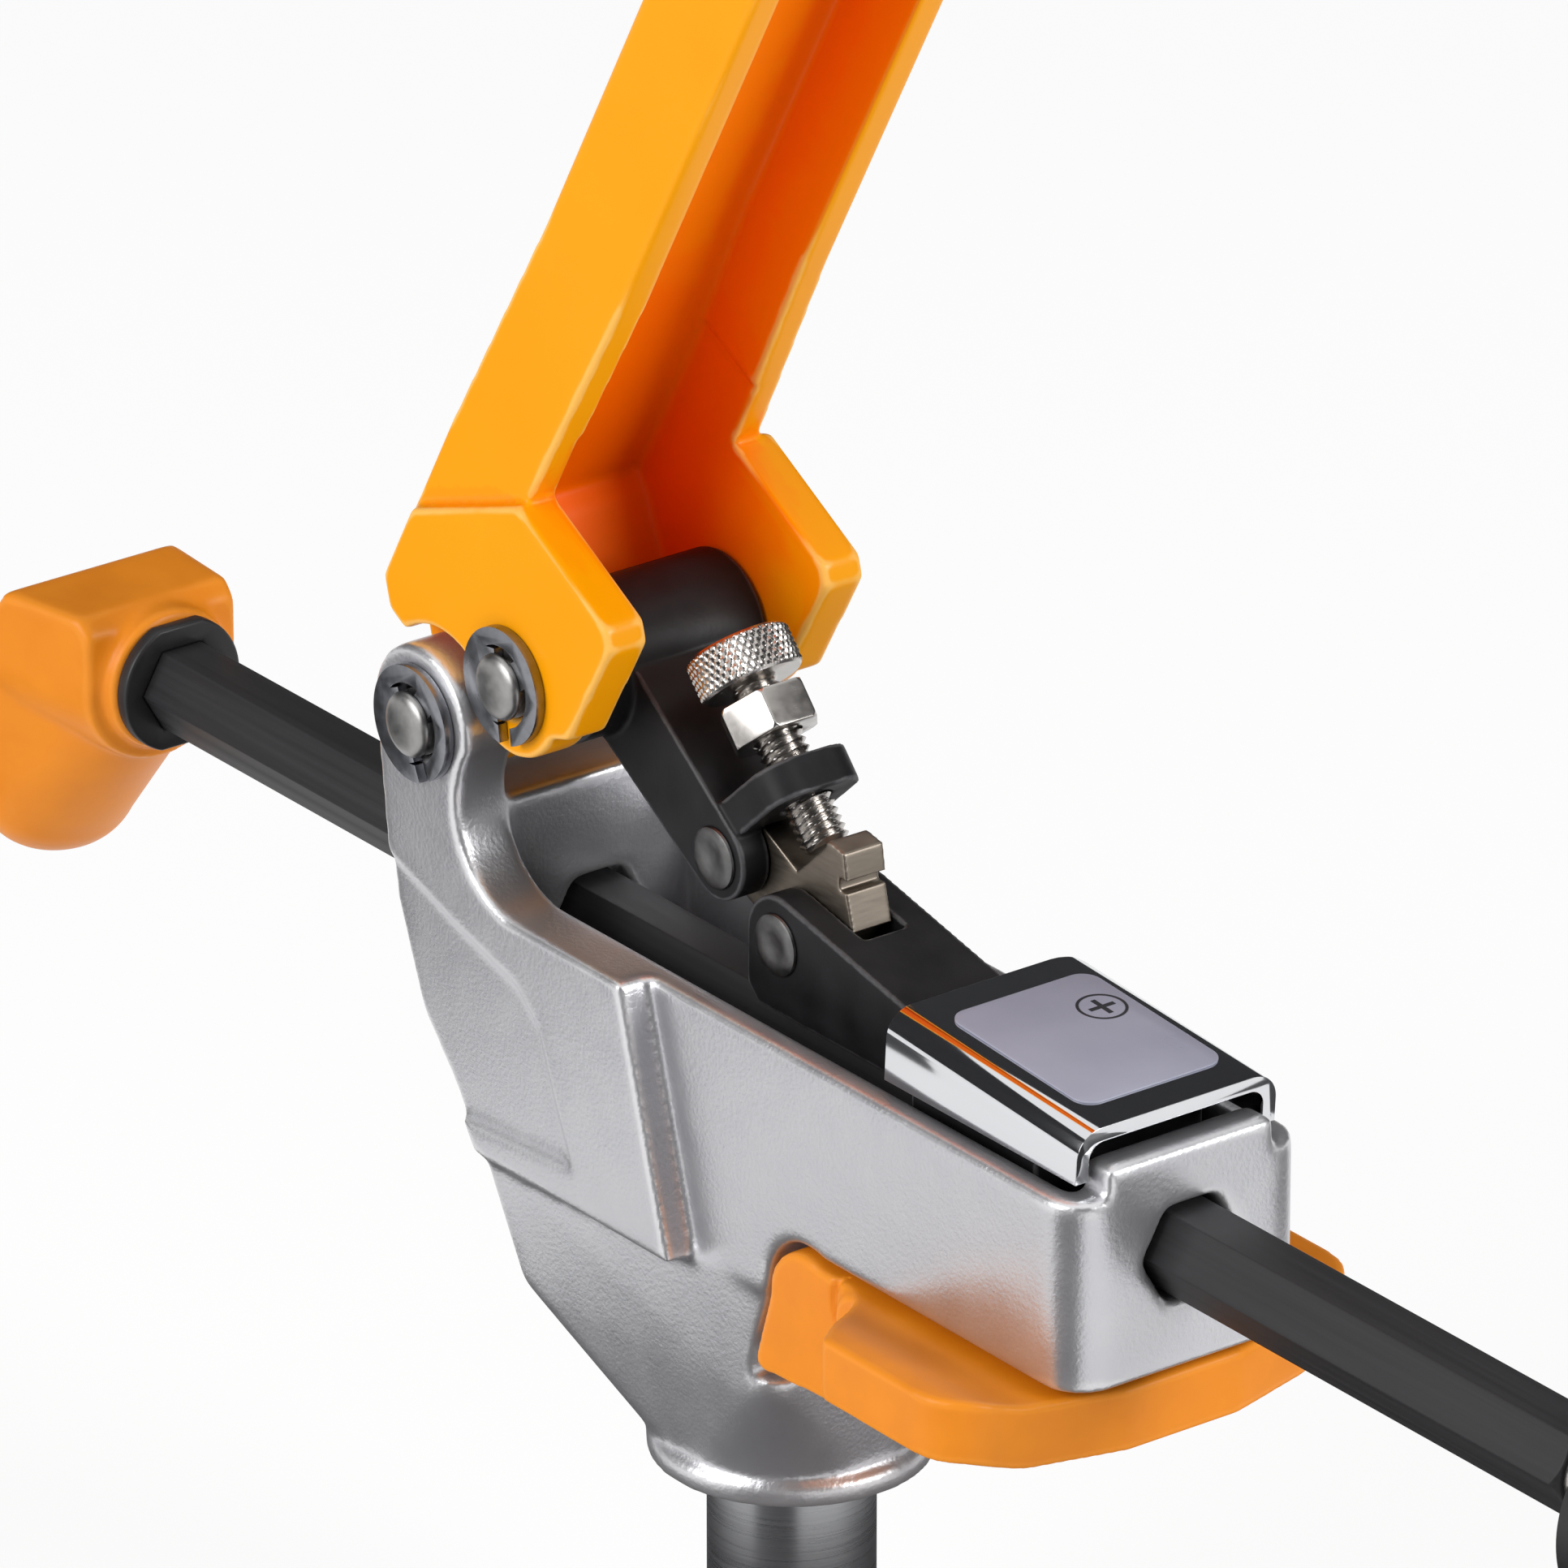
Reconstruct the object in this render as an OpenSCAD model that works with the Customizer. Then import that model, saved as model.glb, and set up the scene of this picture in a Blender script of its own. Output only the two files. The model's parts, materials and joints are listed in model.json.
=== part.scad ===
// Bench dog clamp with a toggle lever, a sliding hex rod and a dog peg.
// Origin: centre of the dog peg at the bench top. +X points at the work, +Z is up.

/* [Rod] */
// Hex rod across its flats
rod_af = 10; // [8:0.5:11]
// Length of the rod
rod_len = 284; // [250:1:360]
// Rod that stands out ahead of the front wall
rod_reach = 70; // [60:1:110]
// Height of the rod's axis above the bench
rod_h = 54; // [50:1:66]
// Room round the rod in the front wall and in the bulkhead
rod_gap = 0.8; // [0.4:0.1:1.2]

/* [Body] */
// Front face of the body, ahead of the peg's axis
front_x = 74; // [72:1:90]
// Width of the front part
body_w = 34; // [33:0.5:40]
// How far each rear side panel stands proud of the front part
rear_step = 4.2; // [2:0.1:6]
// Thickness of the side walls
wall_t = 3.6; // [2.6:0.1:3.8]
// Rim of the side walls above the rod's axis
rim_h = 9.2; // [8:0.1:11]
// Underside of the front part below the rod's axis
belly_h = 14.5; // [14:0.1:18]
// Thickness of the channel's floor
floor_t = 4.2; // [3:0.1:4.5]
// Thickness of the front wall
front_wall_t = 5; // [4:0.5:6]
// Top of the front wall's raised middle above the rod's axis
lip_h = 13; // [11:0.1:13.5]
// Width of that raised middle
lip_w = 23.4; // [18:0.2:24]
// Radius of the front wall's upright corners
corner_r = 5.5; // [3:0.5:7]
// Lower edge of the rear side panels below the rod's axis
skirt_h = 23; // [21:0.5:26]
// Run of the panels' rear edge forward, from the ear down to the skirt
skirt_run = 18.8; // [17:0.2:21]
// Depth of the panel's recessed field
field_depth = 0.7; // [0.4:0.1:1.2]
// Radius of the ears round the fulcrum
ear_r = 9.2; // [8:0.1:9.2]
// Thickness of an ear
ear_t = 7.7; // [6:0.1:8]
// Radius of the sweep from the ear down to the rim
sweep_r = 11.5; // [10:0.5:12]
// Top of the bulkhead between the ears, above the rod's axis
bulkhead_h = 19; // [14:0.5:19.5]

/* [Foot and peg] */
// Radius of the foot's seat on the bench
foot_r = 17; // [16:0.5:18]
// Height of the crease where the foot draws in
crease_h = 16; // [13:0.5:19]
// Diameter of the dog peg
peg_d = 19.9; // [18.9:0.1:25]
// Length of the peg below the bench top
peg_len = 38; // [25:1:45]
// Diameter of the peg's spigot in the foot
spigot_d = 14; // [13:0.5:16]
// Length of that spigot
spigot_len = 12; // [8:0.5:14]
// Thread diameter of the peg bolt
bolt_d = 8; // [6:0.5:8]

/* [Pivots] */
// Fulcrum ahead of the peg's axis
fulcrum_x = -43.5; // [-46:0.5:-43]
// Fulcrum above the rod's axis
fulcrum_z = 28.6; // [28.5:0.1:30]
// Link pin ahead of the fulcrum
crank_x = 14; // [13.8:0.1:15]
// Link pin above the fulcrum
crank_z = 8.9; // [8.5:0.1:10]
// Knee rivet ahead of the link pin
knee_dx = 24.2; // [23:0.1:26]
// Knee rivet below the link pin
knee_dz = 16.3; // [15.5:0.1:17]
// Carriage rivet ahead of the knee rivet
toe_dx = 11.9; // [11.7:0.1:13]
// Carriage rivet below the knee rivet
toe_dz = 6.6; // [6:0.1:7]
// Diameter of the fulcrum pin and the link pin
pin_d = 8; // [6:0.5:9]
// Diameter of the rivets' shanks
rivet_d = 4; // [3:0.1:4.4]
// Diameter of the rivets' heads
rivet_head_d = 7.6; // [6:0.1:8.4]
// Thickness of the rivets' heads
rivet_head_t = 0.9; // [0.6:0.1:1.4]
// Outer diameter of the retaining clips
clip_d = 14.2; // [13:0.1:14.2]
// Thickness of the retaining clips
clip_t = 1.2; // [0.8:0.1:1.5]
// How far a pin stands out of its clip
pin_proud = 1.2; // [0.8:0.1:2]

/* [Lever] */
// Lean of the handle from upright, towards the work
lever_lean = 29.2; // [26:0.1:31]
// Length of the handle from the fulcrum
lever_len = 165; // [130:1:190]
// Width of the forked lower block
fork_w = 36.8; // [36:0.1:38]
// Width of the handle at its root
root_w = 33.6; // [32.5:0.1:35]
// Width of the handle's grip
grip_w = 30.4; // [27:0.1:32]
// Gap between the fork's cheeks
fork_gap = 25.2; // [24.5:0.1:25.8]
// Depth of the handle's channel section
lever_depth = 15.5; // [14:0.1:16]
// Back of the handle behind the fulcrum
lever_back = 17.4; // [17:0.1:19]
// Wall of the handle's channel
lever_wall = 4.2; // [3:0.1:5]
// Height of the fork's shoulder above the fulcrum, along the handle
shoulder_b = 35; // [33:0.5:37]
// Front of the fork ahead of the fulcrum, square to the handle
fork_a = 19.6; // [18.5:0.1:20]
// Radius of the fork's lobe round the link pin
lobe_r = 9; // [8:0.1:9.2]
// Radius of the hub on the fulcrum pin
hub_r = 7.1; // [6.2:0.1:7.3]

/* [Links] */
// Radius of the upper link's barrel
barrel_r = 8.9; // [7:0.1:9]
// Width of the links' forks and of the carriage's arm
fork_link_w = 14.2; // [13:0.1:15]
// Thickness of the lower link
lower_t = 5.7; // [5:0.1:6.4]
// Radius of the upper link's round end at the knee
knee_r = 5.2; // [4.6:0.1:5.3]
// Radius of the carriage's round end
toe_r = 5.8; // [5:0.1:5.9]
// Side play between a tongue and its fork
side_gap = 0.2; // [0.15:0.05:0.3]
// Pitch line of the thumb screw: slope below the level
screw_slope = 47.7; // [46:0.1:49]
// Thumb screw's tip beyond the knee rivet, along the lower link's seat
tip_dx = 12.6; // [12:0.1:13.2]
// Thumb screw's tip above the knee rivet
tip_dz = 3.2; // [2.8:0.1:3.6]
// Thread diameter of the thumb screw
screw_d = 6; // [5:0.5:6]
// Length of the thumb screw under its head
screw_len = 21.6; // [21:0.1:24]
// Diameter of the knurled head
knurl_d = 12.8; // [11:0.1:14]
// Height of the knurled head
knurl_h = 5.2; // [4:0.1:6]
// Lock nut across its flats
nut_af = 10; // [8:0.5:10.5]
// Height of the lock nut
nut_h = 5; // [4:0.1:5.2]
// Lock nut's near face from the screw's tip
nut_at = 14.8; // [14.6:0.1:16]
// Middle of the threaded lug from the screw's tip
lug_at = 8.8; // [8:0.1:9]
// Thickness of the threaded lug
lug_t = 4.6; // [4:0.1:5.6]
// Width of the threaded lug
lug_w = 12.8; // [12:0.1:13.4]
// Reach of the lug beyond the screw's axis
lug_reach = 4.8; // [4.6:0.1:5.6]
// Radius of the lug's round corners
lug_r = 3.8; // [2.5:0.1:4.2]

/* [Carriage and cover] */
// Slope of the carriage's arm
arm_slope = 12; // [10:0.5:15]
// Rear face of the carriage's block ahead of the peg's axis
block_x = 38; // [37:0.5:39]
// Length of the carriage's block
block_len = 22.8; // [21.5:0.1:23]
// Rear edge of the cover ahead of the peg's axis
cover_x = 36.5; // [35:0.5:36.8]
// Length of the cover
cover_len = 34.8; // [30:0.1:36]
// Top of the cover's rear edge above the rod's axis
cover_h = 19.3; // [19:0.1:22]
// Fall of the cover towards the front
cover_tilt = 3.8; // [3:0.1:5]
// Thickness of the cover's sheet
cover_t = 1; // [0.8:0.1:1.2]
// Width of the cover
cover_w = 28.4; // [27.8:0.1:30]
// Outer radius of the cover's bends
cover_r = 3.4; // [2.4:0.1:3.6]
// Gap between the cover's flanges and the rim of the side walls
cover_gap = 1.4; // [0.8:0.1:2]
// Thickness of the cover's hemmed front edge
hem_t = 1.8; // [1.4:0.1:2]
// Thickness of one jam plate
jam_t = 3; // [2.4:0.1:3.2]
// Tilt of the jam plates at rest
jam_tilt = 5; // [4:0.5:5.5]
// Wire of the jam spring
jam_wire = 1.1; // [0.8:0.1:1.2]
// Turns of the jam spring
jam_turns = 4; // [3:0.5:4]

/* [Knob] */
// Width of the rear knob
knob_w = 22; // [20:0.5:26]
// Thickness of the knob's top
knob_t = 14.5; // [13:0.5:16]
// Top of the knob above the rod's axis
knob_top = 9.5; // [8.5:0.1:12]
// How far the knob's finger lobe sweeps back
knob_sweep = 7.5; // [5:0.5:9]
// Centre of that lobe below the rod's axis
knob_drop = 21.6; // [20:0.2:23]
// Radius of the knob's finger lobe
knob_lobe_r = 8.8; // [8:0.2:10]
// Diameter of the collar in front of the knob
collar_d = 17; // [15:0.5:18]
// Length of that collar
collar_len = 2; // [1.5:0.5:3]
// Diameter of the knob's cross screw
cross_d = 4; // [3:0.5:5]
// Rod held in the knob
rod_in_knob = 14; // [12:0.5:14]

/* [Pad] */
// Diameter of the swivel pad
pad_d = 28; // [24:0.5:36]
// Thickness of the pad's cup
cup_t = 9; // [8.5:0.5:12]
// Thickness of the pad's rubber face
face_t = 3; // [2:0.5:4]
// Diameter of the ball
ball_d = 9; // [8:0.5:10]
// Length of the stud from the rod's end to the ball's centre
stud_len = 8; // [7.5:0.5:10]

/* [Trigger] */
// Trigger pin ahead of the peg's axis
trigger_x = 25; // [24.5:0.5:26]
// Trigger pin below the rod's axis
trigger_z = 21.5; // [21:0.1:23]
// Diameter of the trigger pin
trigger_pin_d = 5; // [4:0.5:5.5]
// Radius of the trigger's hub
trigger_hub_r = 6.6; // [6:0.1:6.8]
// Width over the trigger's wings
wing_w = 60; // [48:1:66]
// Thickness of the trigger's paddle
paddle_t = 8; // [6:0.5:9]
// Room between the paddle and the body's underside
paddle_gap = 1; // [0.6:0.1:1.5]
// Wire of the trigger spring
trigger_wire = 1; // [0.8:0.1:1]

/* [Hidden] */
$fn = 72;

// Fits: a running fit on pins, a snug fit on pieces of one body, a plain gap between bodies
run_fit = 0.05;
snug = 0.03;
clear = 0.4;
ear_gap = 1.6;
eps = 0.01;
far = 400;
// Turn of a cross bore about its own axis
seam_turn = 37;

// Places in the side view, [x, z]
function up(z) = rod_h + z;
fulcrum = [fulcrum_x, up(fulcrum_z)];
link = fulcrum + [crank_x, crank_z];
knee = link + [knee_dx, -knee_dz];
toe = knee + [toe_dx, -toe_dz];
tip = knee + [tip_dx, tip_dz];
trigger_axis = [trigger_x, up(-trigger_z)];

// Half widths of the body, and the gap round the trigger's hub
notch_gap = 0.9;
half_w = body_w / 2;
rear_half = half_w + rear_step;
channel_half = half_w - wall_t;
ear_in = rear_half - ear_t;
notch_x = trigger_x - trigger_hub_r - notch_gap;
floor_z = up(floor_t - belly_h);
belly_z = up(-belly_h);
panel_rear = fulcrum_x - ear_r;
bulkhead_front = fulcrum_x + ear_r - 2.8;
bulkhead_rear = fulcrum_x - ear_r + 3;

// Room between the thumb screw's tip and its seat on the lower link
tip_gap = 0.8;

// Toggle: how far the carriage's rivet lags behind the lower link at half travel
slot_lag = 2.3;
slot_play = 0.75;

// Carriage
block_half = channel_half - 1.4;
skirt_gap = 1.1;
block_end = block_x + block_len;
arm_half = fork_link_w / 2;
tongue_half = lower_t / 2;
cheek_in = tongue_half + side_gap;
window_x = block_x + 3.4;
window_end = block_end - 3.6;
jam_step_x = window_x + 1.9;
jam_gap = 0.3;
jam_pivot_z = up(8);
function cover_z(x) = up(cover_h) - (x - cover_x) * tan(cover_tilt);

// Trigger's paddle: start and full width of its wings in front of the axis, and their ends and
// the nose behind the front of the body
wing_start = 11;
wing_full = 20;
wing_end = 12;
nose_back = 5;
nose_half = 8;

// Rod ends
rod_front = front_x + rod_reach;
rod_rear = rod_front - rod_len;
knob_front = rod_rear + rod_in_knob;
knob_back = knob_front - knob_t;
lobe = [knob_back - knob_sweep, up(-knob_drop)];
boss_len = 2.2;
ball_x = rod_front + stud_len;

// A plate in the side view, from one y to another
module side_plate(y0, y1) {
  translate([0, y1, 0])
    rotate([90, 0, 0])
      linear_extrude(y1 - y0)
        union() children();
}

// A round bar along Y at a place in the side view
module bar_y(at, d, y0, y1, turn = 0) {
  translate([at[0], y1, at[1]])
    rotate([90, 0, 0])
      rotate(turn)
        cylinder(d = d, h = y1 - y0);
}

// The same solid on both sides of the middle plane
module both_sides() {
  children();
  mirror([0, 1, 0]) children();
}

// A hex bar along X on the rod's axis
module hex_x(af, x0, x1) {
  translate([x0, 0, rod_h])
    rotate([0, 90, 0])
      rotate(30)
        cylinder(d = af / cos(30), h = x1 - x0, $fn = 6);
}

// The lever's own frame: x forward and square to the handle, z along the handle
module lever_frame() {
  translate([fulcrum[0], 0, fulcrum[1]])
    rotate([0, lever_lean, 0])
      children();
}
function lever_local(p) = [
  p[0] * cos(lever_lean) - p[1] * sin(lever_lean),
  p[0] * sin(lever_lean) + p[1] * cos(lever_lean)
];
link_local = lever_local([crank_x, crank_z]);

// The thumb screw's frame: z runs back from the tip towards the head
module screw_frame() {
  translate([tip[0], 0, tip[1]])
    rotate([0, screw_slope - 90, 0])
      children();
}

// A coil as one tube: points along the helix, swept with a six-sided section
module coil(r, wire, pitch, turns) {
  sides = 6;
  steps = ceil(turns * 12);
  rings = [for (i = [0:steps])
    let (a = 360 * turns * i / steps, z = pitch * turns * i / steps)
    [for (k = [0:sides - 1])
      let (b = 360 * k / sides, q = r + wire / 2 * cos(b))
      [q * cos(a), q * sin(a), z + wire / 2 * sin(b)]]];
  points = [for (ring = rings) for (p = ring) p];
  walls = [for (i = [0:steps - 1]) for (k = [0:sides - 1])
    let (n = (k + 1) % sides, u = i * sides, v = u + sides)
    each [[u + k, v + n, u + n], [u + k, v + k, v + n]]];
  caps = [for (k = [1:sides - 2])
    let (e = steps * sides)
    each [[0, k, k + 1], [e, e + k + 1, e + k]]];
  polyhedron(points, concat(walls, caps));
}

// Side outline of the rear panels, with the ear and the sweep down to the rim
module panel_outline() {
  ear_front = fulcrum_x + ear_r - 2.4;
  rim = up(rim_h);
  difference() {
    union() {
      translate(fulcrum) circle(ear_r);
      polygon([
        [panel_rear, fulcrum[1]],
        [panel_rear + 3, up(4)],
        [panel_rear + 8, up(-8.8)],
        [panel_rear + 14.2, up(-16)],
        [panel_rear + skirt_run, up(-skirt_h)],
        [4.2, up(-skirt_h)],
        [-5, rim],
        [ear_front + sweep_r, rim],
        [ear_front + sweep_r, rim + sweep_r],
        [ear_front, rim + sweep_r],
        [ear_front, fulcrum[1] - 2]
      ]);
    }
    translate([ear_front + sweep_r, rim + sweep_r]) circle(sweep_r);
  }
}

// The recessed field on a rear panel
module field_outline() {
  polygon([
    [panel_rear + 0.2, up(10.5)],
    [panel_rear + 15.6, up(5.3)],
    [panel_rear + 27.8, up(1.8)],
    [panel_rear + 32, up(-2.1)],
    [panel_rear + 35.5, up(-11.1)],
    [panel_rear + 38.6, up(5.2 - skirt_h)],
    [panel_rear + 10, up(2.8 - skirt_h)]
  ]);
}

// A thin slice of the foot: a trapezium with round corners, wider at the rear
module foot_slice(x0, x1, rear, front, r, z) {
  translate([0, 0, z])
    linear_extrude(eps)
      hull()
        for (s = [-1, 1]) {
          translate([x0 + r, s * (rear - r)]) circle(r, $fn = 32);
          translate([x1 - r, s * (front - r)]) circle(r, $fn = 32);
        }
}

// Foot: draws in from the skirt to a crease, then to the round seat
module foot() {
  seat_t = 3;
  foot_rear = panel_rear + skirt_run + 0.1;
  hull() {
    foot_slice(foot_rear, notch_x - 0.4, rear_half - 0.6, half_w - 0.5, 1.8, up(-skirt_h) + 1);
    foot_slice(foot_rear + 3.4, notch_x - 1.4, rear_half - 2.4, half_w - 0.9, 5, crease_h);
    translate([0, 0, seat_t - 1]) cylinder(r = foot_r - 1.6, h = eps, $fn = 48);
  }
  cylinder(r = foot_r, h = seat_t);
}

// Front part: an open box with round upright corners and the front wall's raised middle
module front_box() {
  height = rim_h + belly_h;
  translate([-12, -half_w, belly_z])
    cube([front_x - corner_r + 12, body_w, height]);
  translate([-12, corner_r - half_w, belly_z])
    cube([front_x + 12, body_w - 2 * corner_r, height]);
  both_sides()
    translate([front_x - corner_r, half_w - corner_r, belly_z])
      cylinder(r = corner_r, h = height);
  translate([front_x - front_wall_t, -lip_w / 2, floor_z])
    cube([front_wall_t, lip_w, up(lip_h) - floor_z]);
  // lower flank between the rear panels and the trigger's notch
  translate([-12, -half_w, up(-skirt_h)])
    cube([trigger_x + 12, body_w, skirt_h - belly_h + 1]);
}

// Lug under the floor that carries the trigger's pin
module trigger_lug() {
  bar_y(trigger_axis, 2 * trigger_hub_r - 1, -4.8, 4.8);
  translate([trigger_x - trigger_hub_r + 0.5, -4.8, trigger_axis[1]])
    cube([2 * trigger_hub_r - 1, 9.6, belly_z - trigger_axis[1] + 1]);
}

module body_casting() {
  slot_half = 4;
  color("silver")
    difference() {
      union() {
        front_box();
        side_plate(-rear_half, rear_half) panel_outline();
        foot();
        trigger_lug();
      }
      // open channel for the carriage, and the gap between the ears
      translate([bulkhead_front, -channel_half, floor_z])
        cube([front_x - front_wall_t - bulkhead_front, 2 * channel_half, far]);
      translate([-far, -ear_in, up(bulkhead_h)])
        cube([far + bulkhead_front + eps, 2 * ear_in, far]);
      // rod hole through the bulkhead and the front wall
      hex_x(rod_af + 2 * rod_gap, -far, far);
      // fulcrum bore
      bar_y(fulcrum, pin_d + 2 * run_fit, -rear_half - 1, rear_half + 1);
      // recessed fields on the side panels
      both_sides()
        side_plate(rear_half - field_depth, rear_half + 1) field_outline();
      // notch in front of the foot: round the trigger's hub, and wider below it
      both_sides()
        bar_y(trigger_axis, 2 * (trigger_hub_r + notch_gap), 4.8, far, seam_turn);
      both_sides()
        side_plate(4.8, far)
          polygon([
            [notch_x, trigger_axis[1] + 0.1], [notch_x - 3.5, trigger_axis[1] - 8.9],
            [notch_x - 4.5, trigger_axis[1] - 14], [far, trigger_axis[1] - 14], [far, trigger_axis[1] + 0.1]
          ]);
      both_sides()
        translate([trigger_x, 4.8, 0])
          cube([far, far, belly_z]);
      translate([trigger_x + trigger_hub_r - 0.5, -far, 0])
        cube([far, 2 * far, belly_z]);
      // bore for the trigger's pin, and the slot for the jam plates' tails
      bar_y(trigger_axis, trigger_pin_d + 2 * snug, -far, far);
      translate([window_x - 3, -slot_half, belly_z - 1])
        cube([front_x - front_wall_t - 4 - window_x, 2 * slot_half, floor_t + 2]);
      // socket for the peg's spigot, and the bolt's thread
      translate([0, 0, -1])
        cylinder(d = spigot_d + 2 * snug, h = spigot_len + 1.2);
      cylinder(d = bolt_d + 2 * snug, h = spigot_len + 14);
    }
}

// A pin with a groove for a clip near each end
module clipped_pin(at, half) {
  groove = half + 0.15;
  core = pin_d - 2;
  difference() {
    union() {
      bar_y(at, pin_d, -half - clip_t - 0.3 - pin_proud + 1, half + clip_t + 0.3 + pin_proud - 1);
      both_sides()
        translate([at[0], half + clip_t + 0.3 + pin_proud - 1, at[1]])
          rotate([-90, 0, 0])
            cylinder(d1 = pin_d, d2 = pin_d - 2.4, h = 1);
    }
    both_sides()
      difference() {
        bar_y(at, pin_d + 2, groove - 0.05, groove + clip_t + 0.05);
        bar_y(at, core, groove - 1, groove + clip_t + 1);
      }
  }
}

// A retaining clip: a split ring with a narrow and a broad prong in the pin's groove
module clip_outline() {
  ring_in = pin_d / 2 + 1;
  prong = pin_d / 2 - 1 + run_fit;
  split = 1.1;
  difference() {
    union() {
      difference() {
        circle(d = clip_d);
        circle(r = ring_in);
      }
      rotate(28)
        translate([prong - 1, -1.7])
          square([ring_in - prong + 2, 3.4]);
      translate([-ring_in - 0.5, 0.5 - ring_in])
        square([ring_in, 2 * ring_in - 1]);
    }
    circle(r = prong);
    rotate(-90)
      translate([0, -split])
        square([clip_d, 2 * split]);
  }
}

module clips(at, half, turn) {
  both_sides()
    side_plate(half + 0.15, half + 0.15 + clip_t)
      translate(at) rotate(turn) clip_outline();
}

module fulcrum_pin() {
  color("lightslategray") clipped_pin(fulcrum, rear_half);
}

module fulcrum_clips() {
  color("slategray") clips(fulcrum, rear_half, 24);
}

module dog_peg() {
  nose = 2;
  color("dimgray")
    difference() {
      union() {
        translate([0, 0, nose - peg_len])
          cylinder(d = peg_d, h = peg_len - nose);
        translate([0, 0, -peg_len])
          cylinder(d1 = peg_d - 2 * nose, d2 = peg_d, h = nose);
        cylinder(d = spigot_d, h = spigot_len);
      }
      translate([0, 0, -peg_len - 1])
        cylinder(d = bolt_d + 2 * snug, h = peg_len + spigot_len + 2);
      translate([0, 0, -peg_len - 1])
        cylinder(d = bolt_d * 1.625 + 0.6, h = bolt_d + 2);
    }
}

module peg_bolt() {
  head_top = bolt_d + 1 - peg_len;
  color("black")
    difference() {
      union() {
        translate([0, 0, head_top - bolt_d])
          cylinder(d = bolt_d * 1.625, h = bolt_d);
        translate([0, 0, head_top - eps])
          cylinder(d = bolt_d, h = spigot_len + 12 - head_top);
      }
      translate([0, 0, head_top - bolt_d - 1])
        cylinder(d = bolt_d * 0.75 / cos(30), h = bolt_d / 2 + 1, $fn = 6);
    }
}

// Front view of the handle: half outline mirrored, with a round end
module handle_outline(inset) {
  root = root_w / 2 - inset;
  grip = grip_w / 2 - inset;
  end = lever_len - inset;
  cut_b = shoulder_b + 32;
  polygon([
    [-root, 12], [root, 12], [root, shoulder_b - 2], [grip, cut_b],
    [grip, end - grip], [-grip, end - grip], [-grip, cut_b], [-root, shoulder_b - 2]
  ]);
  translate([0, end - grip]) circle(grip);
}

// Side view of the fork's cheeks, in the lever's own frame
module cheek_outline() {
  nose_b = 4.1;
  back = lever_back - 0.9;
  difference() {
    union() {
      polygon([
        [-back, nose_b + 3], [-back + 3, nose_b], [-9, nose_b], [link_local[0], link_local[1] - lobe_r],
        [fork_a - 0.4, 17], [fork_a, shoulder_b - 2], [fork_a - 2, shoulder_b],
        [lever_depth - lever_back, shoulder_b], [-back, 18.5]
      ]);
      translate(link_local) circle(lobe_r);
    }
    circle(ear_r + ear_gap);
  }
}

// Side view of the tongue that carries the hub between the ears
module tongue_outline() {
  circle(hub_r);
  polygon([
    [-hub_r * 0.8, -hub_r * 0.6], [hub_r * 0.55, hub_r * 0.83 - 0.4], [-10.4, 17],
    [-lever_back + 0.9, 20], [-lever_back + 0.9, 6]
  ]);
}

module lever_handle() {
  cheek_half = fork_w / 2;
  gap_half = fork_gap / 2;
  tongue_half_w = ear_in - 0.3;
  color("orange")
    difference() {
      union() {
        // channel handle: its front outline, hollowed from the front
        lever_frame()
          translate([-lever_back, 0, 0])
            rotate([90, 0, 90])
              linear_extrude(lever_depth)
                handle_outline(0);
        lever_frame()
          side_plate(-cheek_half, cheek_half) cheek_outline();
        lever_frame()
          side_plate(-tongue_half_w, tongue_half_w) tongue_outline();
      }
      // hollow of the handle and the gap between the cheeks
      lever_frame()
        translate([lever_wall - lever_back, 0, 0])
          rotate([90, 0, 90])
            linear_extrude(far)
              intersection() {
                handle_outline(lever_wall);
                translate([-far, shoulder_b - 6]) square([2 * far, far]);
              }
      lever_frame()
        side_plate(-gap_half, gap_half)
          difference() {
            polygon([
              [lever_wall - lever_back, shoulder_b + 10], [far, shoulder_b + 10], [far, -far],
              [-far, -far], [-far, 0], [lever_wall - lever_back, 14]
            ]);
            tongue_outline();
          }
      // room for the ears' tops beside the hub
      both_sides()
        lever_frame()
          side_plate(tongue_half_w, far) circle(ear_r + ear_gap);
      // bores
      bar_y(fulcrum, pin_d + 2 * run_fit, -far, far);
      bar_y(link, pin_d + 2 * snug, -far, far);
    }
}

module link_pin() {
  color("lightslategray") clipped_pin(link, fork_w / 2);
}

module link_clips() {
  color("slategray") clips(link, fork_w / 2, 8);
}

// Side view of the upper link's arm: from the barrel to the knee
module arm_outline() {
  len = norm(knee - link);
  turn = atan2(knee[1] - link[1], knee[0] - link[0]);
  translate(link) circle(barrel_r - 0.6);
  translate(knee) circle(knee_r);
  translate(link)
    rotate(turn)
      polygon([[0, -knee_r - 1], [len, -knee_r], [len, knee_r], [0, knee_r + 1.6]]);
}

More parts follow.
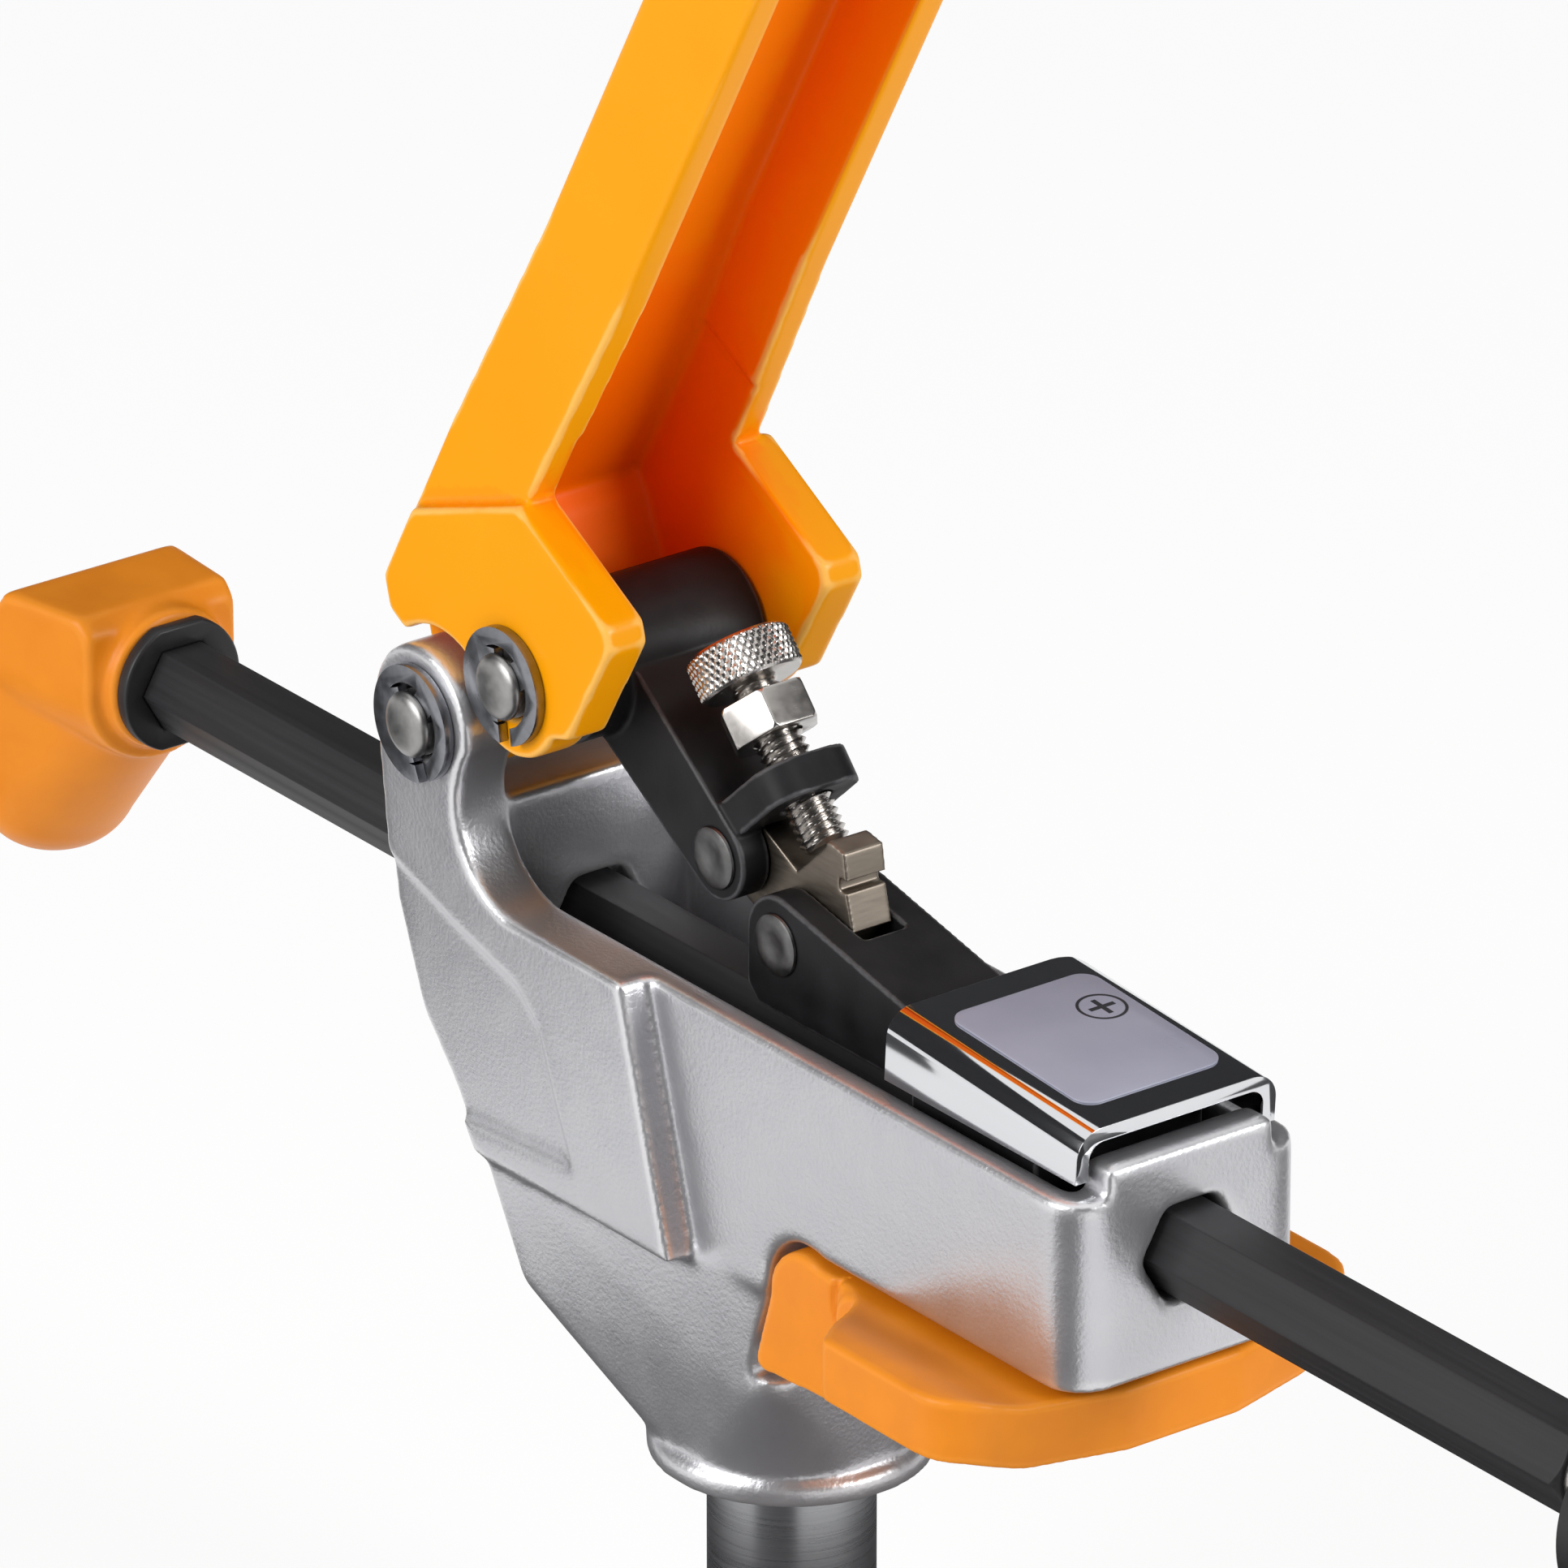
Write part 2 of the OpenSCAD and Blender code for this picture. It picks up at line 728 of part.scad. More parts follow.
module upper_link() {
  barrel_half = fork_gap / 2 - clear;
  foot_at = lug_at - lug_t / 2;
  color("#202022")
    difference() {
      union() {
        bar_y(link, 2 * barrel_r, -barrel_half, barrel_half);
        side_plate(-arm_half + 0.1, arm_half - 0.1) arm_outline();
        // threaded lug, square to the screw, with round corners
        screw_frame()
          translate([2 - tip_dx, -lug_w / 2, foot_at])
            cube([tip_dx - 2 + lug_reach - lug_r, lug_w, lug_t]);
        screw_frame()
          translate([2 - tip_dx, lug_r - lug_w / 2, foot_at])
            cube([tip_dx - 2 + lug_reach, lug_w - 2 * lug_r, lug_t]);
        both_sides()
          screw_frame()
            translate([lug_reach - lug_r, lug_w / 2 - lug_r, foot_at])
              cylinder(r = lug_r, h = lug_t);
      }
      bar_y(link, pin_d + 2 * run_fit, -far, far);
      bar_y(knee, rivet_d + 2 * snug, -far, far);
      // fork for the lower link
      side_plate(-cheek_in, cheek_in)
        union() {
          translate(knee) circle(knee_r + 1.3);
          translate(knee)
            rotate(-30)
              translate([0, -knee_r - 0.8])
                square([30, 2 * knee_r + 1.2]);
        }
      screw_frame()
        translate([0, 0, -5])
          cylinder(d = screw_d + 2 * run_fit, h = 30);
    }
}

// A rivet: shank with a low head on each side
module rivet(at, half) {
  bar_y(at, rivet_d, -half - rivet_head_t + eps, half + rivet_head_t - eps);
  both_sides()
    translate([at[0], half + 0.02, at[1]])
      rotate([-90, 0, 0]) {
        cylinder(d = rivet_head_d, h = rivet_head_t * 0.6);
        translate([0, 0, rivet_head_t * 0.6 - eps])
          cylinder(d1 = rivet_head_d, d2 = rivet_head_d * 0.7, h = rivet_head_t * 0.4);
      }
}

module knee_rivet() {
  color("gray") rivet(knee, arm_half - 0.1);
}

module lock_nut() {
  color("gainsboro")
    screw_frame()
      translate([0, 0, nut_at])
        difference() {
          intersection() {
            rotate(30) cylinder(d = nut_af / cos(30), h = nut_h, $fn = 6);
            translate([0, 0, nut_h / 2])
              sphere(d = sqrt(nut_h * nut_h + pow(nut_af * 1.1, 2)));
          }
          translate([0, 0, -1])
            cylinder(d = screw_d + 2 * run_fit, h = nut_h + 2);
        }
}

module thumb_screw() {
  nose = 0.8;
  edge = 0.6;
  color("lightgray")
    screw_frame() {
      translate([0, 0, tip_gap])
        cylinder(d1 = screw_d - 2 * nose, d2 = screw_d, h = nose);
      translate([0, 0, tip_gap + nose])
        cylinder(d = screw_d, h = screw_len - tip_gap - nose + eps);
      translate([0, 0, screw_len]) {
        cylinder(d1 = knurl_d - 2 * edge, d2 = knurl_d, h = edge);
        translate([0, 0, edge - eps]) cylinder(d = knurl_d, h = knurl_h - 2 * edge + 2 * eps);
        translate([0, 0, knurl_h - edge]) cylinder(d1 = knurl_d, d2 = knurl_d - 2 * edge, h = edge);
      }
    }
}

// Side view of the lower link between its eyes, with the block under the screw's tip
module lower_outline() {
  seat_half = 3.6;
  s = [cos(90 - screw_slope), sin(90 - screw_slope)];
  seat_front = tip + s * seat_half;
  seat_rear = tip - s * seat_half;
  block_front = toe[0] + 7.4;
  block_top = tip[1] + 3.4;
  polygon([
    knee + [1, knee_r - 0.2], knee + [4, knee_r - 1.4], seat_rear, seat_front,
    [seat_front[0] + 0.4, block_top], [block_front - 0.5, block_top - 0.6], [block_front, tip[1] - 0.4],
    [block_front - 1.4, tip[1] - 0.4], [block_front - 1.2, tip[1] - 2], [block_front, tip[1] - 2],
    [block_front + 1.2, toe[1] + 3.4], [block_front - 0.6, toe[1] + 2.4],
    toe + [toe_r * 0.9, -1], toe + [0, -toe_r], toe + [-toe_r, -2], knee + [-1, -knee_r]
  ]);
}

module lower_link() {
  slot_r = rivet_d / 2 + slot_play;
  color("#a59a8c")
    difference() {
      union() {
        bar_y(knee, 2 * knee_r, -tongue_half, tongue_half);
        bar_y(toe, 2 * toe_r, -tongue_half, tongue_half);
        side_plate(-tongue_half, tongue_half) lower_outline();
      }
      bar_y(knee, rivet_d + 2 * run_fit, -far, far);
      // open pivot: a slot round the carriage's rivet
      bar_y(toe, 2 * slot_r, -far, far);
      bar_y(toe - [slot_lag, -0.2], 2 * slot_r, -far, far);
      side_plate(-far, far)
        translate(toe)
          rotate(180 - atan2(0.2, slot_lag))
            translate([0, 0.05 - slot_r])
              square([slot_lag, 2 * slot_r - 0.1]);
    }
}

// Side view of the carriage's arm, from its round end to the block
module carriage_outline() {
  tangent = toe + toe_r * [sin(arm_slope), cos(arm_slope)];
  arm_low = up(rod_af / 2 + 1);
  translate(toe) circle(toe_r);
  polygon([
    tangent,
    [block_x + 1, tangent[1] - (block_x + 1 - tangent[0]) * tan(arm_slope)],
    [block_x + 1, arm_low],
    [toe[0] - toe_r + 2, arm_low],
    [toe[0] - toe_r, arm_low + 2],
    [toe[0] - toe_r, toe[1]]
  ]);
}

module block_outline() {
  sink = cover_t / cos(cover_tilt) + 0.02;
  base = floor_z + 0.5;
  polygon([
    [block_x, base], [block_end, base],
    [block_end, cover_z(block_end) - sink], [block_x, cover_z(block_x) - sink]
  ]);
}

module carriage() {
  slot_front = toe[0] + 11;
  slot_floor = toe[1] - toe_r - 1.1;
  color("#1c1c1e")
    difference() {
      union() {
        side_plate(-arm_half, arm_half) carriage_outline();
        side_plate(-block_half, block_half) block_outline();
      }
      // rounded shoulders inside the cover's bends
      both_sides()
        translate([0, cover_w / 2 - cover_r - 0.2, up(cover_h) - 7])
          cube([far, far, far]);
      // room for the cover's skirts beside the block
      both_sides()
        translate([block_x - 1, cover_w / 2 - cover_t - skirt_gap, up(rim_h) + cover_gap - skirt_gap])
          cube([far, far, far]);
      // slot for the lower link
      side_plate(-cheek_in, cheek_in)
        polygon([
          [toe[0] - 20, slot_floor], [slot_front - 5, slot_floor], [slot_front, toe[1]],
          [slot_front, toe[1] + 20], [toe[0] - 20, toe[1] + 20]
        ]);
      bar_y(toe, rivet_d + 2 * snug, -far, far);
      hex_x(rod_af + 2 * clear, -far, far);
      // window for the jam plates and their spring, with the step that they bear on
      difference() {
        translate([window_x, -9, floor_z - 1])
          cube([window_end - window_x, 18, jam_pivot_z + 1.2 - floor_z]);
        translate([window_x - 1, -10, jam_pivot_z - 1.2])
          cube([jam_step_x - window_x + 1, 20, 10]);
      }
    }
}

module carriage_rivet() {
  color("gray") rivet(toe, arm_half);
}

// Section of the cover: a channel, open below, with bent top corners
module cover_section(half, r, depth) {
  translate([-half, -depth]) square([2 * half, depth - r]);
  translate([r - half, -r - eps]) square([2 * (half - r), r + eps]);
  for (s = [-1, 1])
    translate([s * (half - r), -r]) circle(r);
}

module cover_bar(half, r, drop, x0, x1) {
  translate([cover_x, 0, up(cover_h)])
    rotate([0, cover_tilt, 0])
      translate([x0, 0, -drop])
        rotate([90, 0, 90])
          linear_extrude(x1 - x0)
            cover_section(half, r, 20);
}

module slide_cover() {
  half = cover_w / 2;
  hem_len = 2;
  color("lightsteelblue")
    difference() {
      cover_bar(half, cover_r, 0, 0, cover_len);
      // inside of the sheet, and inside of the thicker hem at the front
      cover_bar(half - cover_t, cover_r - cover_t, cover_t, -1, cover_len - hem_len);
      cover_bar(half - hem_t, cover_r - hem_t + 0.4, hem_t, -2, cover_len + 2);
      // level lower edges above the rim of the side walls
      translate([-far, -far, up(rim_h) + cover_gap - far])
        cube([2 * far, 2 * far, far]);
    }
}

module cover_label() {
  label_t = 0.25;
  label_w = 20.2;
  label_len = 25.4;
  label_y = 0.6;
  r = 2.4;
  color("lavender")
    translate([cover_x, 0, up(cover_h)])
      rotate([0, cover_tilt, 0])
        translate([(cover_len - label_len) / 2, label_y - label_w / 2, 0.01]) {
          translate([r, 0, 0]) cube([label_len - 2 * r, label_w, label_t]);
          translate([0, r, 0]) cube([label_len, label_w - 2 * r, label_t]);
          for (x = [r, label_len - r], y = [r, label_w - r])
            translate([x, y, 0]) cylinder(r = r, h = label_t);
        }
}

module jam_plates() {
  width = 16;
  tall = 16.5;
  tail_w = 7;
  tail = jam_pivot_z - belly_z - 0.6;
  color("dimgray")
    for (i = [0, 1])
      translate([jam_step_x + jam_gap, 0, jam_pivot_z])
        rotate([0, jam_tilt, 0])
          translate([i * (jam_t + 0.05), 0, 0])
            difference() {
              union() {
                translate([0, -width / 2, -tall]) cube([jam_t, width, tall]);
                translate([0, -tail_w / 2, -tail]) cube([jam_t, tail_w, tail - tall + 1]);
              }
              translate([-1, 0, rod_h - jam_pivot_z])
                rotate([0, 90, 0])
                  rotate(30)
                    cylinder(d = (rod_af + 1.6) / cos(30), h = jam_t + 2, $fn = 6);
            }
}

module jam_spring() {
  coil_r = rod_af / 2 / cos(30) + jam_wire / 2 + 0.8;
  room = window_end - (jam_step_x + jam_gap + 2 * jam_t + 0.05) - 0.8;
  pitch = (room - jam_wire) / jam_turns;
  echo(str("least gap between the jam spring's turns: ", pitch - jam_wire));
  color("silver")
    translate([window_end - room - 0.2 + jam_wire / 2, 0, rod_h])
      rotate([0, 90, 0])
        coil(coil_r, jam_wire, pitch, jam_turns);
}

module hex_rod() {
  color("#28282a")
    difference() {
      intersection() {
        hex_x(rod_af, rod_rear, rod_front);
        translate([rod_rear, 0, rod_h])
          rotate([0, 90, 0]) {
            cylinder(d1 = rod_af - 0.4, d2 = rod_af - 0.4 + 4, h = 2);
            translate([0, 0, 2 - eps]) cylinder(d = rod_af * 2, h = rod_len - 4 + 2 * eps);
            translate([0, 0, rod_len - 2]) cylinder(d1 = rod_af - 0.4 + 4, d2 = rod_af - 0.4, h = 2);
          }
      }
      // bores for the stud and for the knob's cross screw
      translate([rod_front - 14, 0, rod_h])
        rotate([0, 90, 0]) cylinder(d = 6 + 2 * snug, h = 15);
      bar_y([knob_front - knob_t / 2, rod_h], cross_d + 2 * snug, -far, far, seam_turn);
    }
}

// Side view of the knob's flat-topped head
module knob_outline() {
  base = up(-knob_w / 2 - 1);
  polygon([
    [knob_back, up(knob_top)], [knob_front - 2, up(knob_top)], [knob_front, up(knob_top - 2)],
    [knob_front, base], [knob_back + 4, base], [knob_back - 4, up(-5)], [knob_back - 2.5, up(knob_top - 4)]
  ]);
}

// Knob: a head that is round below, a boss behind the collar, and a finger lobe that sweeps back and down
module rear_knob() {
  root = [knob_front - knob_t / 2, up(-4)];
  run = lobe - root;
  wide = knob_w / 2 + 0.6;
  color("darkorange")
    difference() {
      union() {
        intersection() {
          side_plate(-knob_w / 2, knob_w / 2) knob_outline();
          union() {
            translate([knob_back - 20, -wide, rod_h])
              cube([60, 2 * wide, 40]);
            translate([knob_back - 20, 0, rod_h])
              rotate([0, 90, 0]) rotate(seam_turn) cylinder(d = knob_w + 0.1, h = 60);
          }
        }
        translate([knob_front - 1, 0, rod_h])
          rotate([0, 90, 0]) rotate(seam_turn) cylinder(d = collar_d + 1, h = boss_len + 1);
        translate([root[0], 0, root[1]])
          rotate([0, atan2(run[0], run[1]), 0])
            rotate(seam_turn) cylinder(r = knob_lobe_r - 0.1, h = norm(run));
        translate([lobe[0], 0, lobe[1]])
          rotate([0, atan2(run[0], run[1]), 0])
            sphere(r = knob_lobe_r);
      }
      hex_x(rod_af + 2 * snug, rod_rear - 0.1, far);
      bar_y([knob_front - knob_t / 2, rod_h], cross_d + 2 * snug, -rod_af * 0.7, far, seam_turn);
    }
}

module knob_collar() {
  color("#141414")
    difference() {
      intersection() {
        translate([knob_front + boss_len + 0.02, 0, rod_h])
          rotate([0, 90, 0]) cylinder(d = collar_d, h = collar_len);
        translate([knob_front, -far, rod_h - collar_d / 2 + 0.6])
          cube([collar_len + boss_len + 1, 2 * far, collar_d - 1.2]);
      }
      hex_x(rod_af + 2 * snug, -far, far);
    }
}

module knob_screw() {
  head_d = 9.4;
  color("#3a3a3e")
    translate([knob_front - knob_t / 2, 0, rod_h])
      rotate([-90, 0, 0]) {
        translate([0, 0, 0.2 - rod_af * 0.7]) cylinder(d = cross_d, h = knob_w / 2 + 0.8 + rod_af * 0.7);
        translate([0, 0, knob_w / 2 + 0.02]) cylinder(d = head_d, h = 1.2);
        translate([0, 0, knob_w / 2 + 1.2]) cylinder(d1 = head_d, d2 = head_d * 0.6, h = 1.2);
      }
}

module pad_stud() {
  color("silver")
    translate([0, 0, rod_h])
      rotate([0, 90, 0]) {
        translate([0, 0, rod_front - 13.5]) cylinder(d = 6, h = 13.5 + eps);
        translate([0, 0, rod_front + 0.02]) cylinder(d = 9, h = 2);
        translate([0, 0, rod_front]) cylinder(d = ball_d * 0.55, h = stud_len);
        translate([0, 0, ball_x]) sphere(d = ball_d);
      }
}

module pad_cup() {
  color("#18181a")
    difference() {
      translate([ball_x - ball_d / 4, 0, rod_h])
        rotate([0, 90, 0]) {
          cylinder(d1 = pad_d * 0.62, d2 = pad_d, h = cup_t / 2);
          translate([0, 0, cup_t / 2 - eps]) cylinder(d = pad_d, h = cup_t / 2 + eps);
        }
      translate([ball_x, 0, rod_h])
        rotate([0, 90, 0]) sphere(d = ball_d + 2 * run_fit);
    }
}

module pad_face() {
  groove = 1;
  color("#3c3c3e")
    translate([ball_x - ball_d / 4 + cup_t + 0.02, 0, rod_h])
      rotate([0, 90, 0])
        difference() {
          cylinder(d = pad_d - 1, h = face_t);
          for (r = [pad_d * 0.16, pad_d * 0.32])
            translate([0, 0, face_t - groove])
              difference() {
                cylinder(r = r + 0.8, h = groove + 1);
                translate([0, 0, -1]) cylinder(r = r - 0.8, h = groove + 3);
              }
        }
}

// Plan of the trigger's paddle: narrow at the hub, wide at the wings
module paddle_plan() {
  half = wing_w / 2;
  root = half_w + 0.4;
  wing_r = 7;
  tail = trigger_x + 3;
  polygon([
    [tail, -root], [trigger_x + wing_start, -root], [trigger_x + wing_start, -root - 1],
    [trigger_x + wing_full, -half], [front_x - wing_end, -half],
    [front_x - nose_back, wing_r - half], [front_x - 1, -nose_half],
    [front_x - 1, nose_half], [front_x - nose_back, half - wing_r],
    [front_x - wing_end, half], [trigger_x + wing_full, half],
    [trigger_x + wing_start, root + 1], [trigger_x + wing_start, root], [tail, root]
  ]);
  for (s = [-1, 1])
    translate([front_x - wing_end, s * (half - wing_r)]) circle(wing_r);
}

module release_trigger() {
  top = belly_z - paddle_gap;
  wing_root = half_w + 1.4;
  hub_in = 5.1;
  blind = 12.4;
  finger_x = window_x - 2.9;
  color("orange")
    difference() {
      union() {
        translate([0, 0, top - paddle_t])
          linear_extrude(paddle_t)
            paddle_plan();
        bar_y(trigger_axis, 2 * trigger_hub_r, -half_w - 0.4, half_w + 0.4);
        // apron below the hub, and the round ends of the wings
        side_plate(-half_w - 0.4, half_w + 0.4)
          polygon([
            trigger_axis + [0.1 - trigger_hub_r, -0.6], trigger_axis - [9.1, 8.9],
            trigger_axis - [9.2, 10.4], trigger_axis - [8, 11], trigger_axis + [6, -10],
            [trigger_x + 15, top - paddle_t + 0.5], [trigger_x + 15, top - 2], trigger_axis
          ]);
        bar_y([trigger_x + wing_start, top - paddle_t / 2], paddle_t - 0.1, -wing_root, wing_root);
        // finger that reaches up behind the jam plates' tails
        translate([finger_x, -3, top - 2])
          cube([2.4, 6, 2 + paddle_gap + 3.6]);
      }
      // room for the lug and the spring, and blind bores for the pin
      translate([0, -hub_in - 4.2, 0])
        cube([trigger_x + trigger_hub_r + 1.6, 2 * hub_in + 4.2, far]);
      bar_y(trigger_axis, trigger_pin_d + 2 * run_fit, -blind, blind);
      // finger hollows under the wings
      both_sides()
        translate([front_x - 24, wing_w / 2 - 9, top - paddle_t - 7])
          sphere(r = 11);
    }
}

module trigger_pin() {
  color("gray") bar_y(trigger_axis, trigger_pin_d, -12, 12);
}

module trigger_spring() {
  turns = 3;
  pitch = trigger_wire + 0.45;
  r = trigger_pin_d / 2 + trigger_wire / 2 + 0.3;
  echo(str("least gap between the trigger spring's turns: ", pitch - trigger_wire));
  color("silver")
    translate([trigger_axis[0], -5.1, trigger_axis[1]])
      rotate([90, 0, 0])
        translate([0, 0, trigger_wire / 2])
          coil(r, trigger_wire, (4.2 - 0.3 - trigger_wire) / turns, turns);
}

body_casting();
fulcrum_pin();
fulcrum_clips();
dog_peg();
peg_bolt();
lever_handle();
link_pin();
link_clips();
upper_link();
knee_rivet();
lock_nut();
thumb_screw();
lower_link();
carriage();
carriage_rivet();
slide_cover();
cover_label();
jam_plates();
jam_spring();
hex_rod();
rear_knob();
knob_collar();
knob_screw();
pad_stud();
pad_cup();
pad_face();
release_trigger();
trigger_pin();
trigger_spring();
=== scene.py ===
# %% [markdown]
# # A bench dog clamp, dressed for the camera
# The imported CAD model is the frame: every piece below sits on it and moves with
# one of its bodies. Lengths are in metres, +X points at the work and +Z is up.
# Most pieces start as a copy of a CAD node, because its sizes are right already.
# What Blender adds is the rounding, the thread, the knurl and the finishes.

# %% Load the frame
import json
import math

import bmesh
import bpy
import numpy as np
from mathutils import Matrix, Vector
from mathutils.bvhtree import BVHTree


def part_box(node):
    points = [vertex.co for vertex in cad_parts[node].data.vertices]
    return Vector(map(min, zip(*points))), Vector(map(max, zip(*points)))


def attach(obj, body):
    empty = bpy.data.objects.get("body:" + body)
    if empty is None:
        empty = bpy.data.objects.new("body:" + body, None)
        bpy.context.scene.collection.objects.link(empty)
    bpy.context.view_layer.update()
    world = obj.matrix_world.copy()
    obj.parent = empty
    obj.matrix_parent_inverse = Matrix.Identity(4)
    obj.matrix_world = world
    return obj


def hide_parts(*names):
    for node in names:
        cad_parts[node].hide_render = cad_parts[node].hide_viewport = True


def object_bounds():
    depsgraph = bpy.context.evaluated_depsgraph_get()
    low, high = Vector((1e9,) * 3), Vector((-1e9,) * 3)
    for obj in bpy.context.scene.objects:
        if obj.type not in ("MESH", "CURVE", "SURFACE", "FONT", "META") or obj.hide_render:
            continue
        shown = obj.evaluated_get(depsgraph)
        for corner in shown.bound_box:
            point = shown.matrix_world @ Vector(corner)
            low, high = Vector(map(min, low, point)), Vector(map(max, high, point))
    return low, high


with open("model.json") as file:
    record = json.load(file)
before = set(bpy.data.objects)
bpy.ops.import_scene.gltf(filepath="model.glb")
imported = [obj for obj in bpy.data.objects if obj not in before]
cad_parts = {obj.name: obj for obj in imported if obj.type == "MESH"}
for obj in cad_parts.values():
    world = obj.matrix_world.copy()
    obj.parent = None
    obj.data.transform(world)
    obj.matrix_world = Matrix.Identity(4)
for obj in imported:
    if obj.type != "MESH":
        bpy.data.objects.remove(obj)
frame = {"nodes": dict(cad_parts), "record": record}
cad_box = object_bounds()
nodes = frame["nodes"]
record = frame["record"]
scene = bpy.context.scene
MM = 0.001
print("CAD box:", [[round(v, 4) for v in corner] for corner in cad_box])

# %% [markdown]
# ## Who rides with what
# The record says which body carries each node and which material slot it has.
# A new piece rides on the body of the node that it stands for, and its finish is given
# with it, so one helper is enough to put a dressed piece in a node's place.

# %% Bodies and the swap
body_of = {n: b for b, members in record["behaviour"]["bodies"].items() for n in members}


def triangle_count(mesh):
    return sum(len(p.vertices) - 2 for p in mesh.polygons)


def stand_in(piece, node, finish):
    """Gives a piece its finish and puts it in the place of a CAD node."""
    piece.data.materials.clear()
    piece.data.materials.append(finish)
    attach(piece, body_of[node])
    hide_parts(node)
    print(f"{piece.name}: for {node}, on {body_of[node]}, {triangle_count(piece.data)} triangles")


# %% [markdown]
# ## Node helpers
# Geometry Nodes and shader groups are both built from nodes and links. These four
# helpers keep the trees below short: one adds a node with its settings, one feeds a
# socket, one adds a calculation, and one opens a new group with named inputs and outputs.

# %% Small helpers for node trees
def add(tree, kind, **settings):
    node = tree.nodes.new(kind)
    for key, value in settings.items():
        setattr(node, key, value)
    return node


def feed(tree, socket, value):
    """Links a socket to another one, or sets it to a plain value."""
    if isinstance(value, bpy.types.NodeSocket):
        tree.links.new(value, socket)
    else:
        socket.default_value = value


def calc(tree, operation, *values):
    node = add(tree, "ShaderNodeMath", operation=operation)
    for socket, value in zip(node.inputs, values):
        feed(tree, socket, value)
    return node.outputs[0]


def open_group(name, kind, inputs, outputs):
    """A new node group; inputs and outputs are (label, socket type, default) rows."""
    tree = bpy.data.node_groups.new(name, kind)
    for rows, way in ((inputs, "INPUT"), (outputs, "OUTPUT")):
        for label, socket_type, default in rows:
            socket = tree.interface.new_socket(name=label, in_out=way, socket_type=socket_type)
            if default is not None:
                socket.default_value = default
    return tree, add(tree, "NodeGroupInput"), add(tree, "NodeGroupOutput")


FLOAT = "NodeSocketFloat"
print("node helpers ready")

# %% [markdown]
# ## Grain
# Cast metal, moulded plastic and paint all have a fine irregular skin. A noise in
# Object coordinates gives it without any picture. The group puts out a height for a
# Bump node and a slower tone for colour and roughness, and each finish sets its scale.

# %% Shader group: fine grain
grain, g_in, g_out = open_group(
    "fine grain", "ShaderNodeTree", [("Scale", FLOAT, 2000.0)],
    [("Height", FLOAT, None), ("Tone", FLOAT, None)])
coords = add(grain, "ShaderNodeTexCoord").outputs["Object"]
for label, ratio, detail in (("Height", 1.0, 3.0), ("Tone", 0.09, 4.0)):
    noise = add(grain, "ShaderNodeTexNoise")
    noise.inputs["Detail"].default_value = detail
    grain.links.new(coords, noise.inputs["Vector"])
    grain.links.new(calc(grain, "MULTIPLY", g_in.outputs["Scale"], ratio), noise.inputs["Scale"])
    spread = add(grain, "ShaderNodeMapRange", clamp=True)
    spread.inputs["From Min"].default_value = 0.3
    spread.inputs["From Max"].default_value = 0.7
    grain.links.new(noise.outputs["Fac"], spread.inputs["Value"])
    grain.links.new(spread.outputs["Result"], g_out.inputs[label])
print("group:", grain.name)

# %% [markdown]
# ## Edge wear and painted sheen
# Outer edges of metal rub bright before anything else does. Each rounded skin below
# stores how sharply it turns outwards in an attribute named "edge". The group reads
# that attribute and breaks it up with a noise, so the wear isn't an even outline.
# The lever uses the same mask for a painted highlight: its edges get a pale orange that
# stands in for light caught on the glossy paint.

# %% Shader group: edge wear and painted sheen
wear_and_sheen, w_in, w_out = open_group(
    "edge wear", "ShaderNodeTree", [("Amount", FLOAT, 0.6), ("Break Up", FLOAT, 400.0)],
    [("Mask", FLOAT, None)])
edge_value = add(wear_and_sheen, "ShaderNodeAttribute", attribute_name="edge").outputs["Fac"]
patches = add(wear_and_sheen, "ShaderNodeTexNoise")
patches.inputs["Detail"].default_value = 4.0
wear_and_sheen.links.new(add(wear_and_sheen, "ShaderNodeTexCoord").outputs["Object"], patches.inputs["Vector"])
wear_and_sheen.links.new(w_in.outputs["Break Up"], patches.inputs["Scale"])
LEAST_PATCH = 0.45
patchy = calc(wear_and_sheen, "ADD", patches.outputs["Fac"], LEAST_PATCH)
edge_patches = calc(wear_and_sheen, "MULTIPLY", edge_value, patchy)
soft_step = add(wear_and_sheen, "ShaderNodeMapRange", interpolation_type="SMOOTHSTEP", clamp=True)
soft_step.inputs["From Min"].default_value = 0.3
soft_step.inputs["From Max"].default_value = 0.95
wear_and_sheen.links.new(edge_patches, soft_step.inputs["Value"])
wear_and_sheen.links.new(calc(wear_and_sheen, "MULTIPLY", soft_step.outputs["Result"], w_in.outputs["Amount"]),
               w_out.inputs["Mask"])
print("group:", wear_and_sheen.name)

# %% [markdown]
# ## Drawn lines
# Bar, wire and sheet come out of a die or a mill with fine lines along their length.
# A noise stretched along one axis looks like that. The stretch is an input: the rod gets
# lines along X, the turned peg gets rings round its axis, and small pieces an even grain.

# %% Shader group: drawn lines
lines, l_in, l_out = open_group(
    "drawn lines", "ShaderNodeTree",
    [("Stretch X", FLOAT, 1.0), ("Stretch Y", FLOAT, 1.0), ("Stretch Z", FLOAT, 1.0)],
    [("Lines", FLOAT, None)])
place = add(lines, "ShaderNodeTexCoord").outputs["Object"]
stretch = add(lines, "ShaderNodeCombineXYZ")
for axis in "XYZ":
    lines.links.new(l_in.outputs[f"Stretch {axis}"], stretch.inputs[axis])
stretched = add(lines, "ShaderNodeVectorMath", operation="MULTIPLY")
lines.links.new(place, stretched.inputs[0])
lines.links.new(stretch.outputs[0], stretched.inputs[1])
streaks = add(lines, "ShaderNodeTexNoise")
streaks.inputs["Scale"].default_value = 1.0
streaks.inputs["Detail"].default_value = 4.0
lines.links.new(stretched.outputs[0], streaks.inputs["Vector"])
